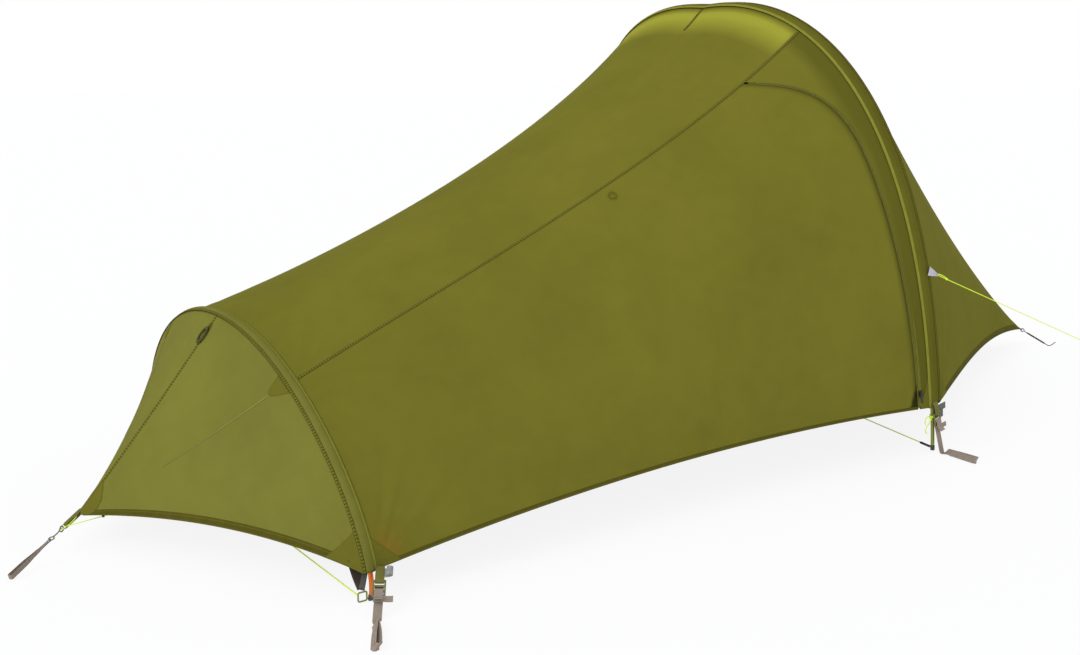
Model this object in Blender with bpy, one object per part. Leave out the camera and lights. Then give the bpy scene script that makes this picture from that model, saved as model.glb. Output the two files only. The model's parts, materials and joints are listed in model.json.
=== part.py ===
# Ultralight tunnel tent on two arches: fly, poles, door, pegging corners, inner tent and floor
# Metres. +X runs from the foot end to the head end, +Y to the far side, +Z up.
# The origin is on the ground, under the middle of the floor.

from math import cos, pi, radians, sin, sqrt

import bmesh
import bpy
import numpy as np
from mathutils import Matrix, Vector

# Stations along the tent
NOSE_X = -1.400
FOOT_ARCH_X = -1.073
MAIN_ARCH_X = 0.363
TAIL_X = 1.477
NOSE_HEIGHT = 0.058
TAIL_HEIGHT = 0.050

# Arches: half width at the ground, height at the crown, and how far the crown leans to the foot
# end for each metre of height. The shape values say how a half arch leaves its foot and its crown.
MAIN_ARCH_HALF_WIDTH = 0.546
MAIN_ARCH_HEIGHT = 1.000
MAIN_ARCH_LEAN_RATIO = 0.238
MAIN_LEG_SPLAY_ANGLE = 0.119
MAIN_LEG_STRAIGHT_RATIO = 1.107
MAIN_CROWN_FLAT_RATIO = 0.112
FOOT_ARCH_HALF_WIDTH = 0.530
FOOT_ARCH_HEIGHT = 0.400
FOOT_ARCH_LEAN_RATIO = 0.078
FOOT_LEG_SPLAY_ANGLE = 0.600
FOOT_LEG_STRAIGHT_RATIO = 0.285
FOOT_CROWN_FLAT_RATIO = 0.7245

# Poles
POLE_DIAMETER = 0.0087
POLE_WALL = 0.0008
SPIGOT_LENGTH = 0.040
SPIGOT_CLEARANCE = 0.0004
SHOCK_CORD_DIAMETER = 0.0024
POLE_TIP_LENGTH = 0.022
POLE_TIP_DIAMETER = 0.0100
MAIN_POLE_SECTIONS = 5
FOOT_POLE_SECTIONS = 3
MAIN_ARCH_STEPS = 40
FOOT_ARCH_STEPS = 26

# Sleeves: where their edges lie beside the pole, towards the foot and the head end
MAIN_SLEEVE_FOOT_EDGE = 0.0105
MAIN_SLEEVE_HEAD_EDGE = 0.0255
FOOT_SLEEVE_EDGE = 0.0110
SLEEVE_CLOTH = 0.0008
SLEEVE_CLEARANCE = 0.0009
SLEEVE_SIDES = 8

# Fly cloth, its seams and hems
FLY_CLOTH = 0.0008
SEAM_GAP = 0.0007
ROOF_HALF_WIDTH = 0.300
MAIN_HEM_HEIGHT = 0.112
FOOT_HEM_HEIGHT = 0.055
ROOF_SEAM_LOW_SAG = 0.053
ROOF_SEAM_LOW_INSET = 0.073
ROOF_SEAM_HIGH_SAG = 0.109
ROOF_SEAM_HIGH_INSET = 0.041
SIDE_HEM_RISE = 0.032
SIDE_HEM_INSET = 0.012
NOSE_HEM_RISE = 0.021
NOSE_HEM_INSET = 0.020
NOSE_RIDGE_SAG = 0.006
TAIL_HEM_RISE = 0.034
TAIL_HEM_INSET = 0.030
TAIL_RIDGE_SAG = 0.030
END_WIDTH = 0.014

# How fast the bow of a panel's side edges dies out towards its middle
WALL_FADE_RATIO = 1.8
ROOF_FADE_RATIO = 1.5
NOSE_FADE_RATIO = 1.6
TAIL_FADE_RATIO = 1.2
CANOPY_FADE_RATIO = 1.3

# Door: how far from the main arch its zip starts on the roof seam, turns down and meets the hem,
# and the share of the hem at which the fold line ends
ZIP_START_SETBACK = 0.1971
ZIP_CORNER_SETBACK = 0.0487
ZIP_FOOT_SETBACK = 0.0341
DOOR_FOLD_SHARE = 0.420
DOOR_TOP_SHARE = 0.020
ZIP_COIL_DIAMETER = 0.0026
ZIP_COIL_GAP = 0.0008
ZIP_COIL_RISE = 0.0006
DOOR_FOLD_GAP = 0.0020
ZIP_COIL_START = 0.018

# Zip slider and its puller
SLIDER_LENGTH = 0.015
SLIDER_WIDTH = 0.009
SLIDER_THICKNESS = 0.0032
SLIDER_SHARE = 0.955
SLIDER_STANDOFF = 0.0046
PULLER_LENGTH = 0.024
PULLER_WIDTH = 0.006
PULLER_THICKNESS = 0.0018
PULLER_END = 0.0014

# Webbing and ladder-lock buckles
WEBBING_WIDTH = 0.0150
WEBBING_THICKNESS = 0.0012
BUCKLE_WIDTH = 0.0220
BUCKLE_THICKNESS = 0.0036
BUCKLE_BAR = 0.0036
BUCKLE_SLOT = 0.0056
BUCKLE_DROP = 0.0130
LOOP_CLEARANCE = 0.0004
MAIN_PEG_REACH = 0.026
FOOT_PEG_REACH = 0.094
PEG_LOOP_LENGTH = 0.067
PEG_LOOP_HALF_WIDTH = 0.0105
PEG_TWIST_LENGTH = 0.023
NEAR_FOOT_PEG_ANGLE = radians(28)
FAR_FOOT_PEG_ANGLE = radians(-15)
MAIN_PEG_ANGLE = radians(0)

# Cords, rings and hooks
GROUND_GAP = 0.0002
RING_GAP = 0.0004
HEAD_CORD_HEIGHT = 0.0060
CORD_SLEEVE_DIAMETER = 0.0056
CORD_SLEEVE_LENGTH = 0.034
HOOK_EYE_RADIUS = 0.0048
HOOK_LENGTH = 0.034
EYE_SHIFT = 0.0008
NOSE_STRAP_LENGTH = 0.032
NOSE_STRAP_WIDTH = 0.0080
NOSE_WEBBING = 0.0100
NOSE_LOOP_HALF_WIDTH = 0.0070
NOSE_BAND_NARROW = 0.0026
NOSE_BAND_THICKNESS = 0.0008
NOSE_PEG_X = -1.548
NOSE_PEG_Y = -0.102
TAIL_RING_RADIUS = 0.0055
TAIL_PEG_X = 1.528
TAIL_PEG_Y = -0.075
VENT_LOOP_LENGTH = 0.034
VENT_LOOP_WIDTH = 0.022
VENT_LOOP_WIRE = 0.0030
TIE_BACK_SHARE = 0.560
TIE_BACK_RADIUS = 0.0080
TIE_BACK_WIRE = 0.0020
CORD_DIAMETER = 0.0024
GUY_DIAMETER = 0.0020
RING_WIRE = 0.0022
RING_RADIUS = 0.0070
HOOK_WIRE = 0.0024
BASE_RING_HALF_WIDTH = 0.0080

# Guyline: height of its tab on the main arch and the ground point of its far end
GUY_TAB_HEIGHT = 0.420
GUY_TAB_LENGTH = 0.026
GUY_TAB_WIDTH = 0.018
GUY_REACH = 1.060
GUY_SPREAD = 0.075
GUY_TAB_TIP = 0.005
GUY_END_HEIGHT = 0.0030
GUY_LOOP = ((0.010, 0.0005), (0.022, 0.006), (0.034, 0.010), (0.044, 0.004), (0.044, -0.006),
            (0.034, -0.010), (0.022, -0.006), (0.014, -0.0035))
GUY_SLIDER_SHARE = 0.80
GUY_SLIDER_LENGTH = 0.030

# Inner tent
FLOOR_CLOTH = 0.0012
TUB_HEIGHT = 0.085
FLOOR_FOOT_X = -1.030
FLOOR_HEAD_X = 1.010
FLOOR_FOOT_HALF_WIDTH = 0.400
FLOOR_FAR_EDGE = 0.425
FLOOR_NEAR_CORNER_X = 0.440
FLOOR_NEAR_CORNER_Y = -0.200
FLOOR_HEAD_FAR_Y = 0.150
FLOOR_HEAD_NEAR_Y = -0.110
INNER_CLOTH = 0.0010
INNER_DROP = 0.055
INNER_SHOULDER = 0.230
INNER_GAP = 0.0012
INNER_DOOR_GAP = 0.0030
INNER_SAG = 0.020
FOOT_WALL_SHARE = 0.80
HEAD_END_HEIGHT = 0.16
DOORWAY_START_SHARE = 0.56
DOORWAY_END_SHARE = 0.90
DOORWAY_TOP_SHARE = 0.16
DOORWAY_BOTTOM_SHARE = 0.96

# Colours of the finishes
OLIVE = (0.168, 0.160, 0.022)
OLIVE_SLEEVE = (0.130, 0.125, 0.018)
OLIVE_WEBBING = (0.215, 0.205, 0.050)
LIME = (0.560, 0.720, 0.050)
BROWN = (0.180, 0.130, 0.095)
ORANGE = (0.720, 0.160, 0.015)
POLE_GREEN = (0.190, 0.230, 0.030)
GREY_INNER = (0.150, 0.130, 0.110)
STEEL = (0.300, 0.300, 0.310)
WHITE = (0.700, 0.680, 0.720)
BLACK = (0.020, 0.020, 0.020)

FAR = np.array([1.0, -1.0, 1.0])
UP = np.array([0.0, 0.0, 1.0])


def point(x, y, z):
    return np.array([x, y, z], dtype=float)


def unit(v):
    return v / np.linalg.norm(v)


def lerp(a, b, t):
    return a + (b - a) * t


def bezier(controls, t):
    """The point at t on the Bezier curve of any number of control points."""
    points = [np.asarray(c, dtype=float) for c in controls]
    while len(points) > 1:
        points = [lerp(a, b, t) for a, b in zip(points, points[1:])]
    return points[0]


def smooth_route(knots, count, closed=False):
    """Points at even steps on a Catmull-Rom curve through the knots."""
    knots = [np.asarray(k, dtype=float) for k in knots]
    if closed:
        ring = [knots[-1]] + knots + knots[:2]
    else:
        ring = [2 * knots[0] - knots[1]] + knots + [2 * knots[-1] - knots[-2]]
    fine = []
    for a, b, c, d in zip(ring, ring[1:], ring[2:], ring[3:]):
        for t in np.linspace(0, 1, 24, endpoint=False):
            fine.append(0.5 * (2 * b + (c - a) * t + (2 * a - 5 * b + 4 * c - d) * t * t
                               + (3 * b - a - 3 * c + d) * t ** 3))
    fine.append(ring[-2])
    fine = np.array(fine)
    walked = np.concatenate([[0], np.cumsum(np.linalg.norm(np.diff(fine, axis=0), axis=1))])
    steps = np.linspace(0, walked[-1], count + 1 if closed else count)
    if closed:
        steps = steps[:-1]
    return [point(*(np.interp(s, walked, fine[:, i]) for i in range(3))) for s in steps]


def run_length(points):
    """Distance walked along a row of points, at each of them."""
    steps = np.linalg.norm(np.diff(points, axis=0), axis=1)
    return np.concatenate([[0], np.cumsum(steps)])


class Arch:
    """A pole bent into a symmetric arch in a leaning plane, walked from its near foot."""

    def __init__(self, foot_x, half_width, height, lean, splay, straightness, flatness, steps):
        foot = np.array([-half_width, 0.0])
        leg = foot + straightness * height * np.array([-sin(splay), cos(splay)])
        crown = np.array([-flatness * half_width, height])
        top = np.array([0.0, height])
        half = np.array([bezier((foot, leg, crown, top), t) for t in np.linspace(0, 1, 241)])
        flat = np.concatenate([half, (half * [-1, 1])[::-1][1:]])
        fine = np.column_stack([foot_x - lean * flat[:, 1], flat])
        walked = run_length(fine)
        even = np.linspace(0, walked[-1], steps + 1)
        self.points = np.column_stack([np.interp(even, walked, fine[:, i]) for i in range(3)])
        self.walked = run_length(self.points)
        self.length = self.walked[-1]
        self.headward = unit(point(1.0, 0.0, lean))

    def at(self, s):
        return point(*(np.interp(s, self.walked, self.points[:, i]) for i in range(3)))

    def along(self, s):
        return unit(self.at(min(s + 0.002, self.length)) - self.at(max(s - 0.002, 0.0)))

    def outward(self, s):
        return unit(np.cross(self.headward, self.along(s)))

    def beside(self, s, headward, outward=0.0):
        return self.at(s) + self.headward * headward + self.outward(s) * outward

    def stations(self, start, end):
        """The pole's own corner points between two distances, with these two."""
        inner = [s for s in self.walked if start + 0.004 < s < end - 0.004]
        return [start] + inner + [end]

    def where_height(self, z):
        """Distance along the near leg at which the pole passes a height."""
        half = len(self.points) // 2 + 1
        return float(np.interp(z, self.points[:half, 2], self.walked[:half]))

    def where_half_width(self, y):
        """Distance along the near half at which the crown narrows to a half width."""
        half = len(self.points) // 2 + 1
        widest = int(np.argmin(self.points[:half, 1]))
        return float(np.interp(-y, self.points[widest:half, 1], self.walked[widest:half]))


MAIN = Arch(MAIN_ARCH_X, MAIN_ARCH_HALF_WIDTH, MAIN_ARCH_HEIGHT, MAIN_ARCH_LEAN_RATIO,
            MAIN_LEG_SPLAY_ANGLE, MAIN_LEG_STRAIGHT_RATIO, MAIN_CROWN_FLAT_RATIO, MAIN_ARCH_STEPS)
FOOT = Arch(FOOT_ARCH_X, FOOT_ARCH_HALF_WIDTH, FOOT_ARCH_HEIGHT, FOOT_ARCH_LEAN_RATIO,
            FOOT_LEG_SPLAY_ANGLE, FOOT_LEG_STRAIGHT_RATIO, FOOT_CROWN_FLAT_RATIO, FOOT_ARCH_STEPS)
MAIN_HEM_S = MAIN.where_height(MAIN_HEM_HEIGHT)
FOOT_HEM_S = FOOT.where_height(FOOT_HEM_HEIGHT)
MAIN_SHOULDER_S = MAIN.where_half_width(ROOF_HALF_WIDTH)
FOOT_SHOULDER_S = FOOT.where_half_width(ROOF_HALF_WIDTH)


def clear_scene():
    for obj in list(bpy.data.objects):
        bpy.data.objects.remove(obj, do_unlink=True)


def finish(name, colour, roughness, metallic=0.0):
    """A Principled material, made once for each name."""
    found = bpy.data.materials.get(name)
    if found:
        return found
    made = bpy.data.materials.new(name)
    made.use_nodes = True
    shader = made.node_tree.nodes["Principled BSDF"]
    shader.inputs["Base Color"].default_value = (*colour, 1.0)
    shader.inputs["Roughness"].default_value = roughness
    shader.inputs["Metallic"].default_value = metallic
    return made


def add_object(name, data, material):
    obj = bpy.data.objects.new(name, data)
    bpy.context.scene.collection.objects.link(obj)
    data.materials.append(material)
    return obj


def mesh_object(name, bm, material, smooth=True):
    bmesh.ops.recalc_face_normals(bm, faces=bm.faces)
    mesh = bpy.data.meshes.new(name)
    bm.to_mesh(mesh)
    bm.free()
    if smooth:
        mesh.shade_smooth()
        mesh.set_sharp_from_angle(angle=radians(40))
    return add_object(name, mesh, material)


def add_loft(bm, rings, inner=None, closed=False):
    """Faces between rings of points, with end caps, or with a bore where inner rings are given."""
    outer = [[bm.verts.new(p) for p in ring] for ring in rings]
    pairs = list(zip(outer, outer[1:]))
    if closed:
        pairs.append((outer[-1], outer[0]))
    for low, high in pairs:
        for i in range(len(low)):
            j = (i + 1) % len(low)
            bm.faces.new((low[i], low[j], high[j], high[i]))
    if closed:
        return
    if inner is None:
        bm.faces.new(outer[0][::-1])
        bm.faces.new(outer[-1])
        return
    bore = [[bm.verts.new(p) for p in ring] for ring in inner]
    for low, high in zip(bore, bore[1:]):
        for i in range(len(low)):
            j = (i + 1) % len(low)
            bm.faces.new((low[j], low[i], high[i], high[j]))
    for i in range(len(bore[0])):
        j = (i + 1) % len(bore[0])
        bm.faces.new((outer[0][j], outer[0][i], bore[0][i], bore[0][j]))
        bm.faces.new((outer[-1][i], outer[-1][j], bore[-1][j], bore[-1][i]))


def circle_section(radius, sides):
    return [(radius * cos(2 * pi * i / sides), radius * sin(2 * pi * i / sides)) for i in range(sides)]


def oval_section(low, high, half_height, sides):
    """A flat oval between two edges, with round ends."""
    middle = (low + high) / 2
    straight = (high - low) / 2 - half_height
    section = []
    for i in range(sides):
        angle = 2 * pi * (i + 0.5) / sides
        shift = straight if cos(angle) > 0 else -straight
        section.append((middle + shift + half_height * cos(angle), half_height * sin(angle)))
    return section


def ring_at(centre, side, up, section):
    return [centre + side * a + up * b for a, b in section]


def path_frames(path, side, closed=False):
    """For each point of a path, a side vector square to it, carried from a first one."""
    frames = []
    carried = np.asarray(side, dtype=float)
    last = len(path) - 1
    for i in range(len(path)):
        if closed:
            ahead = unit(path[(i + 1) % len(path)] - path[i - 1])
        else:
            ahead = unit(path[min(i + 1, last)] - path[max(i - 1, 0)])
        carried = unit(carried - ahead * float(np.dot(carried, ahead)))
        frames.append((carried, np.cross(ahead, carried)))
    return frames


def add_tube(bm, path, radius, sides, side_hint=(0.3, 0.2, 1.0), closed=False):
    section = circle_section(radius, sides)
    frames = path_frames(path, unit(np.asarray(side_hint, dtype=float)), closed)
    add_loft(bm, [ring_at(p, a, b, section) for p, (a, b) in zip(path, frames)], closed=closed)


def add_strap(bm, path, sides, width=WEBBING_WIDTH, thickness=WEBBING_THICKNESS, closed=False):
    """A flat band along a path; sides gives the direction of its width at each point."""
    last = len(path) - 1
    rings = []
    for i, p in enumerate(path):
        if closed:
            ahead = unit(path[(i + 1) % len(path)] - path[i - 1])
        else:
            ahead = unit(path[min(i + 1, last)] - path[max(i - 1, 0)])
        across = np.asarray(sides[i], dtype=float)
        across = unit(across - ahead * float(np.dot(across, ahead)))
        a = (width[i] if isinstance(width, list) else width) / 2
        b = thickness / 2
        rings.append(ring_at(p, across, np.cross(ahead, across), [(a, b), (-a, b), (-a, -b), (a, -b)]))
    add_loft(bm, rings, closed=closed)


def cord(name, route, diameter, material, resolution=2):
    """A round cord as a curve with a bevel and closed ends, through points of a smooth route."""
    curve = bpy.data.curves.new(name, "CURVE")
    curve.dimensions = "3D"
    curve.bevel_depth = diameter / 2
    curve.bevel_resolution = resolution
    curve.use_fill_caps = True
    spline = curve.splines.new("POLY")
    spline.points.add(len(route) - 1)
    for target, p in zip(spline.points, route):
        target.co = (*p, 1.0)
    return add_object(name, curve, material)


def coons(top, bottom, left, right, fade=1.0):
    """A surface over four edges; what the side edges add to the ruled surface fades inwards."""
    corners = top(0.0), top(1.0), bottom(0.0), bottom(1.0)

    def surface(u, v):
        from_left = left(v) - lerp(corners[0], corners[2], v)
        from_right = right(v) - lerp(corners[1], corners[3], v)
        return lerp(top(u), bottom(u), v) + from_left * (1 - u) ** fade + from_right * u ** fade
    return surface


def drawn_in(surface, gap):
    """The same surface, its edges pulled in by a gap, for the seams."""
    def smaller(u, v):
        row = np.linalg.norm(surface(1.0, v) - surface(0.0, v))
        column = np.linalg.norm(surface(u, 1.0) - surface(u, 0.0))
        a = min(gap / row, 0.3)
        b = min(gap / column, 0.3)
        return surface(a + (1 - 2 * a) * u, b + (1 - 2 * b) * v)
    return smaller


def sheet(name, surface, across, down, material, cloth=FLY_CLOTH, doorway=None):
    """A cloth panel: a grid laid on the surface and given the cloth's thickness."""
    bm = bmesh.new()
    bmesh.ops.create_grid(bm, x_segments=across, y_segments=down, size=1.0)
    if doorway:
        inside = [f for f in bm.faces if doorway(*share_of_grid(f.calc_center_median()))]
        bmesh.ops.delete(bm, geom=inside, context="FACES")
    for vert in bm.verts:
        vert.co = surface(*share_of_grid(vert.co))
    panel = mesh_object(name, bm, material)
    thickness = panel.modifiers.new("cloth", "SOLIDIFY")
    thickness.thickness = cloth
    thickness.offset = 0.0
    return panel


def even(count):
    return list(np.linspace(0, 1, count + 1))


def grid_through(low, high, before, inside, after):
    """Grid shares from 0 to 1 with lines exactly at two places."""
    lines = list(np.linspace(0, low, before + 1)) + list(np.linspace(low, high, inside + 1))[1:]
    return lines + list(np.linspace(high, 1, after + 1))[1:]


def on_scale(lines, share):
    """A share of an even grid, moved to the place of the same line on an uneven one."""
    return float(np.interp(share * (len(lines) - 1), range(len(lines)), lines))


def on_lines(surface, columns, rows):
    return lambda u, v: surface(on_scale(columns, u), on_scale(rows, v))


def share_of_grid(co):
    return (co.x + 1) / 2, (co.y + 1) / 2


# Seams, hems and edges of the fly, on the near side

def foot_edge(s):
    return FOOT.beside(s, FOOT_SLEEVE_EDGE + SEAM_GAP)


def nose_edge(s):
    return FOOT.beside(s, -FOOT_SLEEVE_EDGE - SEAM_GAP)


def main_edge(s):
    return MAIN.beside(s, -MAIN_SLEEVE_FOOT_EDGE - SEAM_GAP)


def tail_edge(s):
    return MAIN.beside(s, MAIN_SLEEVE_HEAD_EDGE + SEAM_GAP)


def roof_seam(u):
    low = foot_edge(FOOT_SHOULDER_S)
    high = main_edge(MAIN_SHOULDER_S)
    return bezier((low, lerp(low, high, 0.30) + point(0, ROOF_SEAM_LOW_INSET, -ROOF_SEAM_LOW_SAG),
                   lerp(low, high, 0.75) + point(0, ROOF_SEAM_HIGH_INSET, -ROOF_SEAM_HIGH_SAG), high), u)


def side_hem(u):
    low = foot_edge(FOOT_HEM_S)
    high = main_edge(MAIN_HEM_S)
    bow = 4 * u * (1 - u)
    return lerp(low, high, u) + point(0, SIDE_HEM_INSET, SIDE_HEM_RISE) * bow


def foot_leg(v):
    return foot_edge(lerp(FOOT_SHOULDER_S, FOOT_HEM_S, v))


def main_leg(v):
    return main_edge(lerp(MAIN_SHOULDER_S, MAIN_HEM_S, v))


near_wall_surface = coons(roof_seam, side_hem, foot_leg, main_leg, WALL_FADE_RATIO)
SEAM_LENGTH = np.linalg.norm(roof_seam(1.0) - roof_seam(0.0))
HEM_LENGTH = np.linalg.norm(side_hem(1.0) - side_hem(0.0))
ZIP_START = 1.0 - ZIP_START_SETBACK / SEAM_LENGTH
ZIP_CORNER = 1.0 - ZIP_CORNER_SETBACK / HEM_LENGTH
ZIP_FOOT = 1.0 - ZIP_FOOT_SETBACK / HEM_LENGTH


def zip_line(t):
    """The zip, from the roof seam over a round corner and down beside the main arch."""
    if t < 0.3:
        u, v = bezier(((ZIP_START, 0.0), (lerp(ZIP_START, ZIP_CORNER, 0.50), 0.10),
                       (lerp(ZIP_START, ZIP_CORNER, 0.95), 0.15), (ZIP_CORNER, 0.33)), t / 0.3)
    else:
        u = lerp(ZIP_CORNER, ZIP_FOOT, (t - 0.3) / 0.7)
        v = lerp(0.33, 1.0, (t - 0.3) / 0.7)
    return near_wall_surface(u, v)


def zip_rows():
    """Shares of the zip at which the cloth and the coils beside it have their corner points."""
    return list(np.linspace(DOOR_TOP_SHARE, 0.3, 8)) + list(np.linspace(0.3, 1.0, 9))[1:]


DOOR_AXIS_TOP = roof_seam(ZIP_START)
DOOR_AXIS_FOOT = side_hem(DOOR_FOLD_SHARE)


def fold_line(v):
    return lerp(DOOR_AXIS_TOP, DOOR_AXIS_FOOT, v)


def mirrored(surface):
    return lambda u, v: surface(u, v) * FAR


def build_fly():
    olive = finish("fly_cloth", OLIVE, 0.55)
    gap = SEAM_GAP
    roof = coons(roof_seam, lambda u: roof_seam(u) * FAR,
                 lambda v: foot_edge(lerp(FOOT_SHOULDER_S, FOOT.length - FOOT_SHOULDER_S, v)),
                 lambda v: main_edge(lerp(MAIN_SHOULDER_S, MAIN.length - MAIN_SHOULDER_S, v)),
                 ROOF_FADE_RATIO)
    sheet("fly_roof_panel", drawn_in(roof, gap), 12, 8, olive)
    fixed = coons(lambda u: roof_seam(u * ZIP_START), lambda u: side_hem(u * DOOR_FOLD_SHARE),
                  foot_leg, fold_line, WALL_FADE_RATIO)
    sheet("fly_near_wall_panel", drawn_in(fixed, gap), 10, 8, olive)
    sheet("fly_far_wall_panel", drawn_in(mirrored(near_wall_surface), gap), 13, 8, olive)

    coil = ZIP_COIL_DIAMETER + ZIP_COIL_GAP / 2 + SEAM_GAP
    surround = coons(lambda u: roof_seam(lerp(ZIP_START, 1.0, u)),
                     lambda u: side_hem(lerp(ZIP_FOOT, 1.0, u)), zip_line, main_leg)
    rows = [0.0] + zip_rows()
    sheet("fly_door_surround", on_lines(set_back(drawn_in(surround, gap), coil, 0.0), even(4), rows),
          4, len(rows) - 1, olive)
    rows = [(t - DOOR_TOP_SHARE) / (1 - DOOR_TOP_SHARE) for t in zip_rows()]
    sheet("fly_door_panel", on_lines(door_surface(coil), even(9), rows), 9, len(rows) - 1, olive)

    for side, flip in (("near", lambda f: f), ("far", mirrored)):
        sheet("fly_nose_panel_" + side, flip(drawn_in(nose_surface(), gap)), 7, 8, olive)
        sheet("fly_tail_panel_" + side, flip(drawn_in(tail_surface(), gap)), 8, 10, olive)


def set_back(surface, first, last):
    """The same surface with its rows shortened by fixed lengths at their two ends."""
    def shorter(u, v):
        row = np.linalg.norm(surface(1.0, v) - surface(0.0, v))
        return surface(lerp(first / row, 1.0 - last / row, u), v)
    return shorter


def door_surface(coil):
    """The door between the fold line and the zip; its top corner is cut a little short."""
    def share(v):
        return DOOR_TOP_SHARE + (1 - DOOR_TOP_SHARE) * v
    door = coons(lambda u: lerp(fold_line(share(0.0)), zip_line(share(0.0)), u),
                 lambda u: side_hem(lerp(DOOR_FOLD_SHARE, ZIP_FOOT, u)),
                 lambda v: fold_line(share(v)), lambda v: zip_line(share(v)))
    return set_back(drawn_in(door, SEAM_GAP), DOOR_FOLD_GAP, coil)


def nose_surface():
    """Half of the foot end, from its ridge to its hem and from the arch to the short end."""
    tip = point(NOSE_X, 0.0, NOSE_HEIGHT)
    crown = nose_edge(FOOT.length / 2)
    foot = nose_edge(FOOT_HEM_S)
    end = tip + point(0.004, -END_WIDTH, 0.0)

    def ridge(u):
        return lerp(crown, tip, u) - UP * NOSE_RIDGE_SAG * 4 * u * (1 - u)

    def hem(u):
        inset = unit(point(1.0, 0.55, 0)) * NOSE_HEM_INSET
        return lerp(foot, end, u) + (UP * NOSE_HEM_RISE + inset) * 4 * u * (1 - u)

    return coons(ridge, hem, lambda v: nose_edge(lerp(FOOT.length / 2, FOOT_HEM_S, v)),
                 lambda v: lerp(tip, end, v), NOSE_FADE_RATIO)


def tail_surface():
    """Half of the head end, from its ridge to its hem and from the arch to the short end."""
    tip = point(TAIL_X, 0.0, TAIL_HEIGHT)
    crown = tail_edge(MAIN.length / 2)
    foot = tail_edge(MAIN_HEM_S)
    end = tip + point(-0.004, -END_WIDTH, 0.0)

    def ridge(u):
        return lerp(crown, tip, u) - UP * TAIL_RIDGE_SAG * 4 * u * (1 - u)

    def hem(u):
        inset = unit(point(-0.45, 0.9, 0)) * TAIL_HEM_INSET
        bow = bezier((0.0, 0.57, 1.40, 0.0), u)
        return lerp(foot, end, u) + (UP * TAIL_HEM_RISE + inset) * bow

    return coons(ridge, hem, lambda v: tail_edge(lerp(MAIN.length / 2, MAIN_HEM_S, v)),
                 lambda v: lerp(tip, end, v), TAIL_FADE_RATIO)


def build_sleeves():
    cloth = finish("sleeve_cloth", OLIVE_SLEEVE, 0.6)
    bore = POLE_DIAMETER / 2 + SLEEVE_CLEARANCE
    layout = (("main_arch_sleeve", MAIN, MAIN_HEM_S, -MAIN_SLEEVE_FOOT_EDGE, MAIN_SLEEVE_HEAD_EDGE),
              ("foot_arch_sleeve", FOOT, FOOT_HEM_S, -FOOT_SLEEVE_EDGE, FOOT_SLEEVE_EDGE))
    for name, arch, start, low, high in layout:
        outer = oval_section(low, high, bore + SLEEVE_CLOTH, SLEEVE_SIDES)
        inner = oval_section(low + SLEEVE_CLOTH, high - SLEEVE_CLOTH, bore, SLEEVE_SIDES)
        stations = arch.stations(start, arch.length - start)
        frames = [(arch.at(s), arch.headward, arch.outward(s)) for s in stations]
        bm = bmesh.new()
        add_loft(bm, [ring_at(*f, outer) for f in frames], [ring_at(*f, inner) for f in frames])
        mesh_object(name, bm, cloth)


def arch_rings(arch, profile, sides):
    """Rings round the pole line; the profile gives pairs of distance and radius."""
    rings = []
    for s, radius in profile:
        rings.append(ring_at(arch.at(s), arch.headward, arch.outward(s), circle_section(radius, sides)))
    return rings


def pole_profile(arch, start, end, radius):
    return [(s, radius) for s in arch.stations(start, end)]


def pole_section(name, arch, start, end, last, metal):
    """One tube; the first stands on its tip, all but the last carry the spigot for the next."""
    radius = POLE_DIAMETER / 2
    bore = radius - POLE_WALL
    snug = bore - SPIGOT_CLEARANCE
    outer = pole_profile(arch, start, end, radius)
    inner = pole_profile(arch, start, end - 0.002, bore)
    blind_start = start == 0.0
    if blind_start:
        outer = tip_profile() + pole_profile(arch, POLE_TIP_LENGTH, end, radius)
        inner = pole_profile(arch, POLE_TIP_LENGTH + 0.001, end - 0.002, bore)
    if last:
        tip = [(arch.length - s, r) for s, r in tip_profile()[::-1]]
        outer = pole_profile(arch, start, arch.length - POLE_TIP_LENGTH, radius) + tip
        inner = pole_profile(arch, start, arch.length - POLE_TIP_LENGTH - 0.001, bore)
    else:
        spigot_end = end + SPIGOT_LENGTH
        outer += pole_profile(arch, end + 0.0002, spigot_end, snug)
        inner += pole_profile(arch, end - 0.001, spigot_end, snug - POLE_WALL)
    bm = bmesh.new()
    add_tube_body(bm, arch_rings(arch, outer, 8), arch_rings(arch, inner, 8), blind_start, last)
    for vert in bm.verts:
        vert.co.z = max(vert.co.z, 0.0)
    mesh_object(name, bm, metal)


def tip_profile():
    """A rounded end fitting: small on the ground, a collar, and a neck up to the tube."""
    wide = POLE_TIP_DIAMETER / 2
    return [(0.0, wide * 0.7), (0.0016, wide), (0.010, wide), (0.012, POLE_DIAMETER / 2)]


def add_tube_body(bm, outer, inner, blind_start, blind_end):
    """A tube between outer and inner rings; a blind end is capped outside and in the bore."""
    shell = [[bm.verts.new(p) for p in ring] for ring in outer]
    bore = [[bm.verts.new(p) for p in ring] for ring in inner]
    for rings in (shell, bore):
        for low, high in zip(rings, rings[1:]):
            for i in range(len(low)):
                j = (i + 1) % len(low)
                bm.faces.new((low[i], low[j], high[j], high[i]))
    for at, blind in ((0, blind_start), (-1, blind_end)):
        if blind:
            bm.faces.new(shell[at])
            bm.faces.new(bore[at])
            continue
        for i in range(len(shell[at])):
            j = (i + 1) % len(shell[at])
            bm.faces.new((shell[at][i], shell[at][j], bore[at][j], bore[at][i]))


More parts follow.
